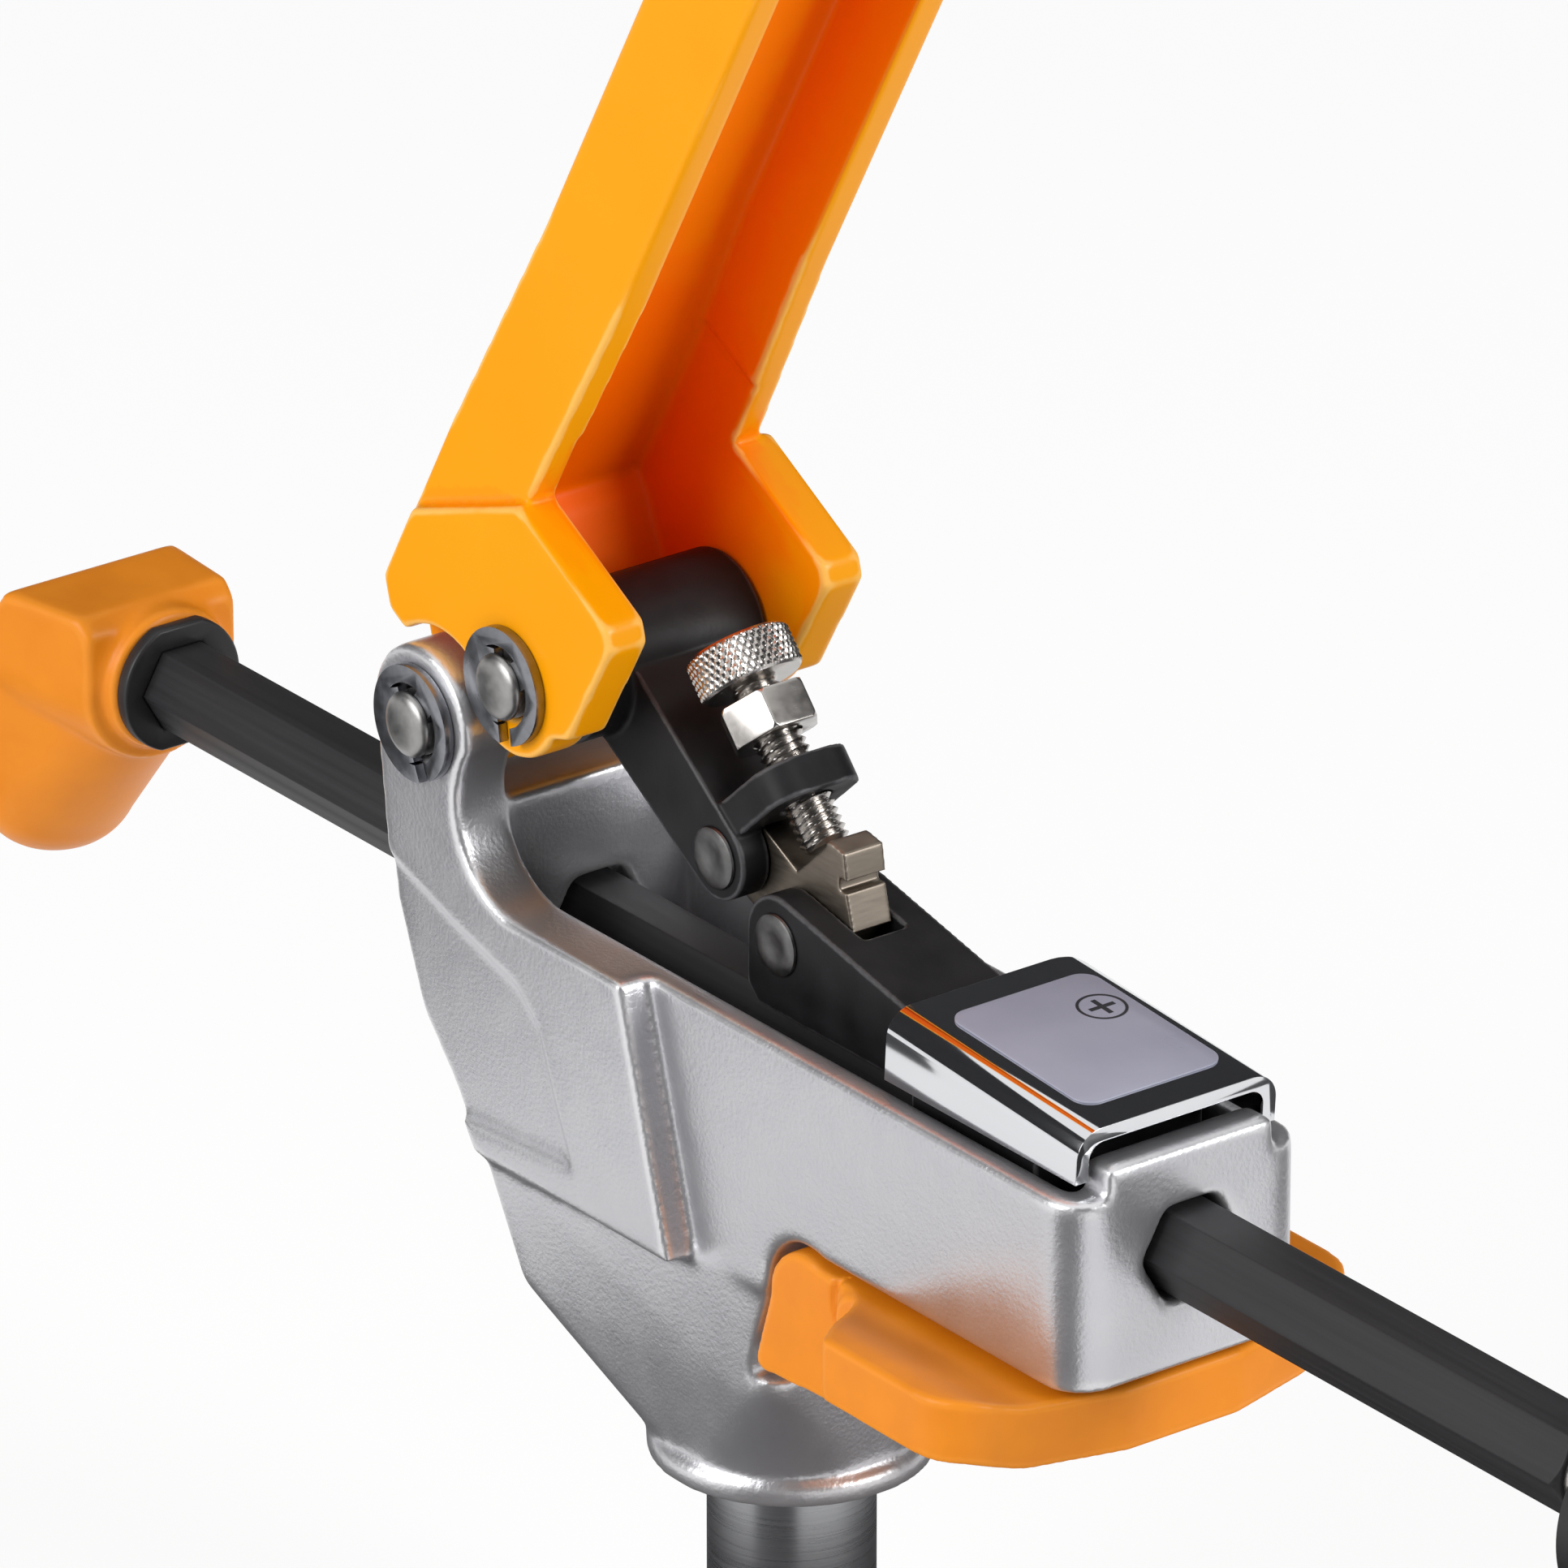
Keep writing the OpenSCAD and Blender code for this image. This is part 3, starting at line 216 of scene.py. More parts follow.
lines.links.new(streaks.outputs["Fac"], l_out.inputs["Lines"])
print("group:", lines.name)

# %% [markdown]
# ## Building a finish
# Every finish is one Principled BSDF. What is the same all over is set on its own
# sockets. What changes over the surface comes from the groups: a mix of two close
# colours, a roughness that wanders between two values, and a bump.

# %% Helpers for the finishes
def new_finish(name, **constants):
    finish = bpy.data.materials.new(name)
    finish.use_nodes = True
    shader = finish.node_tree.nodes["Principled BSDF"]
    for key, value in constants.items():
        shader.inputs[key.replace("_", " ").title().replace("Ior", "IOR")].default_value = value
    return finish


def place_group(finish, tree, **values):
    node = add(finish.node_tree, "ShaderNodeGroup", node_tree=tree)
    for key, value in values.items():
        node.inputs[key.replace("_", " ").title()].default_value = value
    return node.outputs


def shader_input(finish, label):
    return finish.node_tree.nodes["Principled BSDF"].inputs[label]


def tint(finish, mask, dark, light):
    """A colour that goes from dark to light with the mask."""
    mix = add(finish.node_tree, "ShaderNodeMix", data_type="RGBA")
    feed(finish.node_tree, mix.inputs[0], mask)
    for socket, colour in ((mix.inputs[6], dark), (mix.inputs[7], light)):
        linked = isinstance(colour, bpy.types.NodeSocket)
        feed(finish.node_tree, socket, colour if linked else (*colour, 1.0))
    return mix.outputs[2]


def wander(finish, mask, low, high):
    """A value that goes from low to high with the mask."""
    spread = add(finish.node_tree, "ShaderNodeMapRange", clamp=True)
    spread.inputs["To Min"].default_value = low
    spread.inputs["To Max"].default_value = high
    finish.node_tree.links.new(mask, spread.inputs["Value"])
    return spread.outputs["Result"]


def raise_skin(finish, height, strength, distance):
    """A bump from a height; the distance is in millimetres."""
    bump = add(finish.node_tree, "ShaderNodeBump")
    bump.inputs["Strength"].default_value = strength
    bump.inputs["Distance"].default_value = distance * MM
    finish.node_tree.links.new(height, bump.inputs["Height"])
    finish.node_tree.links.new(bump.outputs["Normal"], shader_input(finish, "Normal"))


def wire(finish, source, label):
    finish.node_tree.links.new(source, shader_input(finish, label))


print("finish helpers ready")

# %% [markdown]
# ## Satin cast aluminium
# The body is a die casting with a fine blasted skin under a clear silver finish. It
# scatters reflections widely, so it needs a middling roughness and a fine bump.
# Its edges are a little brighter, because they are tumbled smooth.

# %% Finish: cast body
cast_silver = new_finish("cast_silver", metallic=0.85)
skin = place_group(cast_silver, grain, scale=1900.0)
rub_and_sheen = place_group(cast_silver, wear_and_sheen, amount=0.55, break_up=300.0)
silver = tint(cast_silver, skin["Tone"], (0.615, 0.615, 0.645), (0.66, 0.66, 0.685))
wire(cast_silver, tint(cast_silver, rub_and_sheen["Mask"], silver, (0.86, 0.86, 0.87)), "Base Color")
wire(cast_silver, wander(cast_silver, skin["Tone"], 0.33, 0.37), "Roughness")
raise_skin(cast_silver, skin["Height"], 0.3, 0.06)
print("finish:", cast_silver.name)

# %% [markdown]
# ## Orange paint and orange plastic
# The lever is a casting under glossy paint, which flows before it dries and keeps a
# slight ripple. The knob and the trigger are moulded in one colour and are duller.
# Both share the grain group: a slow ripple for the paint, a fine texture for plastic.
# In the lever's hollow, light bounces between orange walls and gets redder each time; an
# attribute named "shelter" says how shut in a spot is, and there shade is painted into
# the colour as a deeper, darker red.

# %% Finish: lever paint
orange_paint = new_finish("orange_paint", specular_ior_level=0.14, coat_weight=0.06,
                          coat_roughness=0.07)
skin = place_group(orange_paint, grain, scale=420.0)
rub_and_sheen = place_group(orange_paint, wear_and_sheen, amount=0.6, break_up=160.0)
paint = tint(orange_paint, skin["Tone"], (0.93, 0.345, 0.0), (0.96, 0.37, 0.001))
sheltered = add(orange_paint.node_tree, "ShaderNodeAttribute", attribute_name="shelter")
# painted shade: where the shelter attribute is high, the lever's hollow turns a darker red
painted_hollow_shade = tint(orange_paint, sheltered.outputs["Fac"], paint, (0.98, 0.17, 0.0))
# painted highlight: the lever's edges turn a pale orange, partly wear and partly painted highlight
wire(orange_paint, tint(orange_paint, rub_and_sheen["Mask"], painted_hollow_shade, (1.0, 0.6, 0.16)), "Base Color")
wire(orange_paint, wander(orange_paint, skin["Tone"], 0.27, 0.36), "Roughness")
raise_skin(orange_paint, skin["Height"], 0.05, 0.06)
print("finish:", orange_paint.name)

# %% Finish: moulded plastic
RUB_GAIN, RUB_LIFT, ROUGH_SWING = 1.25, 0.02, 0.05


def moulded(name, dark, light, rough, texture, shine=0.5):
    finish = new_finish(name, specular_ior_level=shine)
    skin = place_group(finish, grain, scale=texture)
    rub_and_sheen = place_group(finish, wear_and_sheen, amount=0.3, break_up=250.0)
    body = tint(finish, skin["Tone"], dark, light)
    rubbed_tone = tuple(min(1.0, c * RUB_GAIN + RUB_LIFT) for c in light)
    wire(finish, tint(finish, rub_and_sheen["Mask"], body, rubbed_tone), "Base Color")
    dullness = wander(finish, skin["Tone"], rough - ROUGH_SWING, rough + ROUGH_SWING)
    wire(finish, dullness, "Roughness")
    raise_skin(finish, skin["Height"], 0.12, 0.05)
    print("finish:", name)
    return finish


orange_plastic = moulded("orange_plastic", (0.82, 0.245, 0.008), (0.88, 0.275, 0.010),
                         0.4, 1500.0, 0.3)
black_plastic = moulded("black_plastic", (0.012, 0.012, 0.013), (0.02, 0.02, 0.022), 0.45, 1500.0)
soft_rubber = moulded("soft_rubber", (0.03, 0.03, 0.031), (0.05, 0.05, 0.052), 0.75, 1100.0)

# %% [markdown]
# ## Black oxide
# The links, the carriage and the rod are steel with a black oxide skin and a little
# oil. The skin is thin: it goes grey where pieces rub. The links show that on their
# edges, and the rod as faint lines along its length.

# %% Finish: black oxide
black_oxide = new_finish("black_oxide", metallic=0.12, specular_ior_level=0.22)
skin = place_group(black_oxide, grain, scale=1500.0)
rub_and_sheen = place_group(black_oxide, wear_and_sheen, amount=0.75, break_up=700.0)
oxide = tint(black_oxide, skin["Tone"], (0.010, 0.010, 0.011), (0.020, 0.020, 0.022))
wire(black_oxide, tint(black_oxide, rub_and_sheen["Mask"], oxide, (0.10, 0.10, 0.105)), "Base Color")
wire(black_oxide, wander(black_oxide, skin["Tone"], 0.36, 0.52), "Roughness")
raise_skin(black_oxide, skin["Height"], 0.15, 0.04)

rod_black = new_finish("rod_black", metallic=0.1, specular_ior_level=0.35)
drawn = place_group(rod_black, lines, stretch_x=25.0, stretch_y=1500.0, stretch_z=1500.0)
bar_black = tint(rod_black, drawn["Lines"], (0.014, 0.014, 0.015), (0.04, 0.04, 0.043))
wire(rod_black, bar_black, "Base Color")
wire(rod_black, wander(rod_black, drawn["Lines"], 0.48, 0.62), "Roughness")
raise_skin(rod_black, drawn["Lines"], 0.1, 0.03)
print("finishes:", black_oxide.name, rod_black.name)

# %% [markdown]
# ## Bare and plated steel
# Pins, rivets, clips, the lower link, the nut and the thumb screw are all bright
# metal, but no two look alike: plating is mirror-like, stamped spring steel is grey,
# and the lower link has a warm tint. One function makes them all from their own values.

# %% Finish: bright metals
SMOOTHER, ROUGHER = 0.75, 1.3


def bright_metal(name, dark, light, rough, bump=0.06, stretch=(900.0, 900.0, 900.0)):
    finish = new_finish(name, metallic=1.0)
    across_x, across_y, across_z = stretch
    drawn = place_group(finish, lines, stretch_x=across_x, stretch_y=across_y, stretch_z=across_z)
    wire(finish, tint(finish, drawn["Lines"], dark, light), "Base Color")
    wire(finish, wander(finish, drawn["Lines"], rough * SMOOTHER, rough * ROUGHER), "Roughness")
    raise_skin(finish, drawn["Lines"], bump, 0.03)
    print("finish:", name)
    return finish


pin_steel = bright_metal("pin_steel", (0.28, 0.276, 0.27), (0.46, 0.452, 0.445), 0.36, 0.12)
rivet_steel = bright_metal("rivet_steel", (0.11, 0.108, 0.107), (0.22, 0.217, 0.215), 0.38, 0.12)
clip_steel = bright_metal("clip_steel", (0.20, 0.205, 0.22), (0.36, 0.37, 0.40), 0.3, 0.1)
nickel = bright_metal("nickel", (0.45, 0.43, 0.41), (0.60, 0.57, 0.54), 0.24, 0.04)
warm_steel = bright_metal("warm_steel", (0.22, 0.185, 0.15), (0.34, 0.295, 0.245),
                          0.4, 0.08, (300.0, 300.0, 2500.0))
peg_steel = bright_metal("peg_steel", (0.40, 0.405, 0.42), (0.58, 0.585, 0.6),
                         0.28, 0.12, (60.0, 60.0, 4000.0))
black_steel = bright_metal("black_steel", (0.03, 0.03, 0.033), (0.07, 0.07, 0.075), 0.4)
spring_wire = bright_metal("spring_wire", (0.38, 0.38, 0.40), (0.55, 0.55, 0.57), 0.25)
cover_chrome = bright_metal("cover_chrome", (0.70, 0.71, 0.73), (0.76, 0.77, 0.79),
                            0.07, 0.012, (60.0, 300.0, 300.0))

# %% [markdown]
# ## Label film
# A pale film sits on the cover. Whatever is printed on such a film stays off this
# model: it carries only a circled plus, which any maker may use for "tighter". The
# film has a soft satin skin, and the ink is a dark grey.

# %% Finish: film and ink
label_film = moulded("label_film", (0.36, 0.365, 0.46), (0.40, 0.405, 0.50), 0.32, 900.0)
label_ink = moulded("label_ink", (0.02, 0.02, 0.022), (0.035, 0.035, 0.04), 0.4, 900.0)

# %% [markdown]
# ## Copying a CAD node
# A CAD node comes in as loose triangles, and its own mesh is never changed. Each
# dressed piece works on a merged copy. Modifiers then do the rounding, and the result
# is kept as a plain mesh, so that nothing is left to evaluate.

# %% Copies and modifiers
WELD = 0.002


def new_piece(name, mesh):
    piece = bpy.data.objects.new(name, mesh)
    scene.collection.objects.link(piece)
    return piece


def merged_copy(node, name):
    mesh = nodes[node].data.copy()
    mesh.name = name
    mesh.materials.clear()
    skin = bmesh.new()
    skin.from_mesh(mesh)
    bmesh.ops.remove_doubles(skin, verts=skin.verts, dist=WELD * MM)
    skin.to_mesh(mesh)
    skin.free()
    return new_piece(name, mesh)


def settle(piece):
    """Turns the modifiers' result into the piece's own plain mesh."""
    seen = piece.evaluated_get(bpy.context.evaluated_depsgraph_get())
    mesh = bpy.data.meshes.new_from_object(seen)
    old = piece.data
    piece.modifiers.clear()
    piece.data = mesh
    bpy.data.meshes.remove(old)
    mesh.name = piece.name


def shade_by_angle(piece, degrees):
    for p in piece.data.polygons:
        p.use_smooth = True
    piece.data.set_sharp_from_angle(angle=math.radians(degrees))


print("copy helpers ready")

# %% [markdown]
# ## Two ways to break an edge
# Stamped and machined pieces have a small even edge, and a Bevel modifier makes it.
# A casting or a moulding has soft edges everywhere, inside corners too. A bevel fails
# on such shapes, so they are rebuilt from voxels and relaxed: the longer the relaxing,
# the rounder the edge. Afterwards the sharpness of each spot is stored for the edge wear
# and, on the lever, the painted highlight.

# %% Even edges on machined pieces
FLAT_DEG, EDGE_DEG, SHADE_DEG = 0.6, 32, 34


def round_corner(skin, corner, way, radius, steps=6):
    """Rounds an upright corner in steps; way says on which side it lies, in X and Y."""
    for k in range(steps):
        turn = math.pi / 2 * (k + 0.5) / steps
        out = Vector((way[0] * math.cos(turn), way[1] * math.sin(turn), 0))
        middle = Vector((corner[0] - way[0] * radius, corner[1] - way[1] * radius, 0)) * MM
        everything = skin.verts[:] + skin.edges[:] + skin.faces[:]
        cut = bmesh.ops.bisect_plane(skin, geom=everything, plane_co=middle + out * radius * MM,
                                     plane_no=out, clear_outer=True)
        rim = [e for e in cut["geom_cut"] if isinstance(e, bmesh.types.BMEdge)]
        bmesh.ops.holes_fill(skin, edges=rim, sides=0)


def eased(node, width, segments=2, finish=None, corners=()):
    """Gives a copy of a node an even edge of that width, in millimetres."""
    piece = merged_copy(node, node + "_eased")
    skin = bmesh.new()
    skin.from_mesh(piece.data)
    bmesh.ops.dissolve_limit(skin, angle_limit=math.radians(FLAT_DEG), verts=skin.verts,
                             edges=skin.edges)
    for corner, way, radius in corners:
        round_corner(skin, corner, way, radius)
    skin.to_mesh(piece.data)
    skin.free()
    bevel = piece.modifiers.new("even edge", "BEVEL")
    bevel.width = width * MM
    bevel.segments = segments
    bevel.limit_method = "ANGLE"
    bevel.angle_limit = math.radians(EDGE_DEG)
    settle(piece)
    shade_by_angle(piece, SHADE_DEG)
    if finish:
        stand_in(piece, node, finish)
    return piece


# %% Soft edges on castings and mouldings
def mark_edges(piece, radius):
    """Stores how sharply the skin turns outwards; 1 is an edge of that radius, in millimetres."""
    mesh = piece.data
    count = len(mesh.vertices)
    spots, normals = np.empty(count * 3), np.empty(count * 3)
    mesh.vertices.foreach_get("co", spots)
    mesh.vertices.foreach_get("normal", normals)
    spots, normals = spots.reshape(-1, 3), normals.reshape(-1, 3)
    pairs = np.empty(len(mesh.edges) * 2, np.int32)
    mesh.edges.foreach_get("vertices", pairs)
    pairs = np.concatenate([pairs.reshape(-1, 2), pairs.reshape(-1, 2)[:, ::-1]])
    here, there = pairs[:, 0], pairs[:, 1]
    step = spots[there] - spots[here]
    bend = -(step * normals[here]).sum(1) / np.maximum((step * step).sum(1), 1e-14)
    neighbours = np.maximum(np.bincount(here, minlength=count), 1)
    turn = 2 * np.bincount(here, bend, count) / neighbours
    for _ in range(3):
        turn = 0.5 * turn + 0.5 * np.bincount(here, turn[there], count) / neighbours
    layer = mesh.attributes.new("edge", "FLOAT", "POINT")
    layer.data.foreach_set("value", np.clip(turn * radius * MM * 2, 0, 1))


# The shelter attribute sets where shade is painted into the lever's hollow.
def mark_shelter(piece, reach, rays=14):
    """Stores how much the piece shuts in each of its spots, looking as far as the reach, in mm."""
    lift, still_open, shut = 0.1, 0.15, 0.4
    mesh = piece.data
    tree = BVHTree.FromPolygons([v.co for v in mesh.vertices], [p.vertices for p in mesh.polygons])
    turn = math.pi * (3 - math.sqrt(5))
    dome = []
    for k in range(rays):
        rise = (k + 0.5) / rays
        aside = math.sqrt(1 - rise * rise)
        dome.append(Vector((aside * math.cos(k * turn), aside * math.sin(k * turn), rise)))
    blocked = []
    for v in mesh.vertices:
        upright = v.normal.to_track_quat("Z", "Y")
        start = v.co + v.normal * lift * MM
        hits = sum(tree.ray_cast(start, upright @ way, reach * MM)[0] is not None for way in dome)
        blocked.append(min(1.0, max(0.0, (hits / rays - still_open) / shut)))
    layer = mesh.attributes.new("shelter", "FLOAT", "POINT")
    layer.data.foreach_set("value", blocked)
    print(piece.name, "mean shelter", round(sum(blocked) / len(blocked), 3))


def add_bridge(piece, keep):
    """Adds a tight wrapping of the corners that keep picks; the voxels fuse it with the piece."""
    skin = bmesh.new()
    for spot in [v.co for v in piece.data.vertices if keep(v.co)]:
        skin.verts.new(spot)
    wrap = bmesh.ops.convex_hull(skin, input=skin.verts)
    inside = [v for v in wrap["geom_interior"] if isinstance(v, bmesh.types.BMVert)]
    bmesh.ops.delete(skin, geom=inside, context="VERTS")
    bmesh.ops.recalc_face_normals(skin, faces=skin.faces)
    skin.from_mesh(piece.data)
    skin.to_mesh(piece.data)
    skin.free()


def soften(node, voxel, passes, most, finish, radius=1.5, lean=0.0, bridge=None):
    """Rounds a copy of a node, with voxel and radius in millimetres and at most so many
    triangles; lean turns the voxels with a slanting piece, in degrees."""
    piece = merged_copy(node, node + "_skin")
    if bridge:
        add_bridge(piece, bridge)
    upright = Matrix.Rotation(math.radians(-lean), 4, "Y")
    piece.data.transform(upright)
    cells = piece.modifiers.new("cells", "REMESH")
    cells.mode = "VOXEL"
    cells.voxel_size = voxel * MM
    relax = piece.modifiers.new("relax", "SMOOTH")
    relax.factor = 0.5
    relax.iterations = passes
    settle(piece)
    full = triangle_count(piece.data)
    if full > most:
        thin = piece.modifiers.new("thin", "DECIMATE")
        thin.ratio = most / full
        settle(piece)
    piece.data.transform(upright.inverted())
    for p in piece.data.polygons:
        p.use_smooth = True
    mark_edges(piece, radius)
    stand_in(piece, node, finish)
    return piece


print("edge helpers ready")

# %% [markdown]
# ## The castings and mouldings
# Body, lever, knob and trigger come out of moulds. The body's edges are the roundest,
# about two millimetres. The lever is thinner and crisper. Voxels must be smaller than
# the rounding, and they lean with the lever, so that its long faces stay flat. The
# decimate step then drops the points that flat faces don't need. Three moulded forms come
# last: the knob's head widens towards the back, the trigger's wings curl up a little, and
# a shallow groove on the trigger's sides marks where each wing starts.

# %% Body, lever, knob and trigger
LEVER_LEAN, HOLLOW_REACH = 29.2, 40.0
soften("body_casting", 0.45, 30, 150000, cast_silver, 2.0)
lever_skin = soften("lever_handle", 0.27, 45, 130000, orange_paint, 1.2, lean=LEVER_LEAN)
# the shelter attribute drives the painted shade in the lever's hollow
mark_shelter(lever_skin, HOLLOW_REACH)

KNOB_FRONT, KNOB_DEPTH, BRIDGE_FROM = -126.0, 14.5, 0.6
FLARE_NEAR, FLARE_FAR, FLARE_END = 0.24, 0.1, 1.2
knob_skin = soften("rear_knob", 0.4, 34, 50000, orange_plastic, 2.0,
                   bridge=lambda spot: spot.x < (KNOB_FRONT - BRIDGE_FROM * KNOB_DEPTH) * MM)
for v in knob_skin.data.vertices:
    behind = min(FLARE_END, max(0.0, (KNOB_FRONT * MM - v.co.x) / (KNOB_DEPTH * MM)))
    v.co.y *= 1 + behind * (FLARE_NEAR if v.co.y < 0 else FLARE_FAR)

CURL, CURL_FROM, CURL_OVER, WING_FIT = 1.9, 19, 9, 0.999
SEAM_X, SEAM_Z, SEAM_R, SEAM_HALF, SEAM_DEEP, SEAM_SHORT = 36.6, 36.0, 5.9, 0.7, 0.8, 3
SIDE_IN, SIDE_OUT = 16, 19
trigger_skin = soften("release_trigger", 0.4, 18, 170000, orange_plastic, 1.6)
for v in trigger_skin.data.vertices:
    out = min(1.0, max(0.0, (abs(v.co.y) / MM - CURL_FROM) / CURL_OVER))
    v.co.z += CURL * MM * out * out * (3 - 2 * out)
    v.co.y *= WING_FIT
    aside = (math.hypot(v.co.x / MM - SEAM_X, v.co.z / MM - SEAM_Z) - SEAM_R) / SEAM_HALF
    on_side = v.co.x < (SEAM_X - SEAM_SHORT) * MM and SIDE_IN * MM < abs(v.co.y) < SIDE_OUT * MM
    if abs(aside) < 1 and on_side:
        v.co.y -= math.copysign(SEAM_DEEP * MM * (1 - aside * aside) ** 2, v.co.y)

# %% [markdown]
# ## The forged links
# The upper link, the lower link and the carriage are forged or milled from thick
# steel. Their edges are broken by tumbling, well under a millimetre, so the voxels
# are finer and the relaxing is short.

# %% Links and carriage
soften("upper_link", 0.24, 8, 70000, black_oxide, 0.7)
soften("carriage", 0.26, 8, 80000, black_oxide, 0.7)
soften("lower_link", 0.2, 6, 50000, warm_steel, 0.6)

# %% [markdown]
# ## Machined and stamped pieces
# The rod, the nut, the cover and the small hardware have even edges, so a bevel does.
# The cover is bent sheet: its cut edge is rounded too, and catches the light as a
# bright line along the front. Its far rear corner is cut round, seen from above.

# %% Rod, nut, cover and small hardware
eased("hex_rod", 0.35, 3, rod_black)
eased("lock_nut", 0.18, 3, nickel)
COVER_REAR, COVER_HALF, COVER_ROUND = 36.5, 14.2, 5.5
eased("slide_cover", 0.4, 4, cover_chrome,
      corners=[((COVER_REAR, COVER_HALF), (-1, 1), COVER_ROUND)])
eased("cover_label", 0.05, 2, label_film)
eased("jam_plates", 0.25, 2, clip_steel)
eased("knob_collar", 0.4, 3, black_plastic)
eased("knob_screw", 0.3, 3, black_steel)
eased("peg_bolt", 0.4, 3, black_steel)
eased("dog_peg", 0.4, 3, peg_steel)
eased("pad_stud", 0.3, 3, nickel)
eased("pad_cup", 0.5, 3, black_plastic)
eased("pad_face", 0.25, 2, soft_rubber)
eased("trigger_pin", 0.4, 3, pin_steel)

# %% [markdown]
# ## Turned pins
# Both big pins are turned bar with a groove near each end for a clip. Their ends are
# slightly domed. A lathe is a profile spun round an axis, so the profile is written as
# radius and distance, and the two halves are the same.

# %% Pins on the lathe
ONTO_X = Matrix.Rotation(math.pi / 2, 4, "Y")
ONTO_Y = Matrix.Rotation(-math.pi / 2, 4, "X")
TURNED_DEG = 38


def turned(name, profile, place, steps=72):
    """A closed piece turned round Y: profile rows are (radius, along) in millimetres."""
    skin = bmesh.new()
    rings = []
    for radius, along in profile:
        angles = [2 * math.pi * k / steps for k in range(steps)] if radius > 0 else [0.0]
        r, z = radius * MM, along * MM
        rings.append([skin.verts.new((r * math.cos(a), r * math.sin(a), z)) for a in angles])
    for low, high in zip(rings, rings[1:]):
        for k in range(steps):
            n = (k + 1) % steps
            corners = (low[k % len(low)], low[n % len(low)],
                       high[n % len(high)], high[k % len(high)])
            corners = list(dict.fromkeys(corners))
            if len(corners) > 2:
                skin.faces.new(corners)
    skin.transform(Matrix.Translation(Vector(place) * MM) @ ONTO_Y)
    bmesh.ops.recalc_face_normals(skin, faces=skin.faces)
    mesh = bpy.data.meshes.new(name)
    skin.to_mesh(mesh)
    skin.free()
    piece = new_piece(name, mesh)
    shade_by_angle(piece, TURNED_DEG)
    return piece


# each pin's middle, and how far from it the face lies that a clip sits beside
PINS = {"fulcrum": ((-43.5, 0.0, 82.6), 21.2), "link": ((-29.5, 0.0, 91.5), 18.4)}
GROOVE_IN, GROOVE_OUT, PIN_OUT = 0.1, 1.4, 2.7


def pin_profile(seat):
    """A pin from end to end: one half, shank, groove and domed end, and the same mirrored."""
    groove, shoulder, end = seat + GROOVE_IN, seat + GROOVE_OUT, seat + PIN_OUT
    half = [(4.0, groove), (3.0, groove), (3.0, shoulder), (4.0, shoulder),
            (4.0, end - 1.1), (3.85, end - 0.8), (3.5, end - 0.5), (2.8, end - 0.25),
            (1.6, end - 0.07), (0.0, end)]
    return [(r, -a) for r, a in reversed(half)] + half


for pin, (place, seat) in PINS.items():
    stand_in(turned(f"{pin}_pin_turned", pin_profile(seat), place), f"{pin}_pin", pin_steel)

# %% [markdown]
# ## A pair on a pin
# Clips and rivet heads come in pairs, one at each end of a pin. A Geometry Nodes tree
# takes one of them and puts it at both ends. Its inputs are the pin's place, half the
# spacing, and how far the rear one is turned, and it ends in real geometry.

# %% Geometry Nodes: a pair on a pin
GEOMETRY, VECTOR, MATERIAL = "NodeSocketGeometry", "NodeSocketVector", "NodeSocketMaterial"
pair_tree, p_in, p_out = open_group(
    "pair on a pin", "GeometryNodeTree",
    [("Geometry", GEOMETRY, None), ("Place", VECTOR, (0.0, 0.0, 0.0)),
     ("Half spacing", FLOAT, 0.02), ("Turn", FLOAT, 0.0), ("Finish", MATERIAL, None)],
    [("Geometry", GEOMETRY, None)])
ends = add(pair_tree, "GeometryNodeMeshLine", mode="END_POINTS")
ends.inputs["Count"].default_value = 2
for label, sign in (("Start Location", -1.0), ("Offset", 1.0)):
    spot = add(pair_tree, "ShaderNodeCombineXYZ")
    to_end = calc(pair_tree, "MULTIPLY", p_in.outputs["Half spacing"], sign)
    pair_tree.links.new(to_end, spot.inputs["Y"])
    shift = add(pair_tree, "ShaderNodeVectorMath", operation="ADD")
    pair_tree.links.new(spot.outputs[0], shift.inputs[0])
    pair_tree.links.new(p_in.outputs["Place"], shift.inputs[1])
    pair_tree.links.new(shift.outputs[0], ends.inputs[label])
rear_turn = add(pair_tree, "ShaderNodeCombineXYZ")
which = add(pair_tree, "GeometryNodeInputIndex").outputs[0]
pair_tree.links.new(calc(pair_tree, "MULTIPLY", which, p_in.outputs["Turn"]), rear_turn.inputs["Z"])
put = add(pair_tree, "GeometryNodeInstanceOnPoints")
pair_tree.links.new(ends.outputs["Mesh"], put.inputs["Points"])
pair_tree.links.new(p_in.outputs["Geometry"], put.inputs["Instance"])
pair_tree.links.new(rear_turn.outputs[0], put.inputs["Rotation"])
real = add(pair_tree, "GeometryNodeRealizeInstances")
paint_it = add(pair_tree, "GeometryNodeSetMaterial")
pair_tree.links.new(put.outputs["Instances"], real.inputs["Geometry"])
pair_tree.links.new(real.outputs["Geometry"], paint_it.inputs["Geometry"])
pair_tree.links.new(p_in.outputs["Finish"], paint_it.inputs["Material"])
pair_tree.links.new(paint_it.outputs["Geometry"], p_out.inputs["Geometry"])


def run_tree(piece, tree, **values):
    """Puts a tree on a piece with its inputs set by identifier, and keeps the plain result."""
    modifier = piece.modifiers.new(tree.name, "NODES")
    modifier.node_group = tree
    for item in tree.interface.items_tree:
        key = item.name.lower().replace(" ", "_")
        if item.in_out == "INPUT" and key in values:
            modifier[item.identifier] = values[key]
    settle(piece)


print("tree:", pair_tree.name)

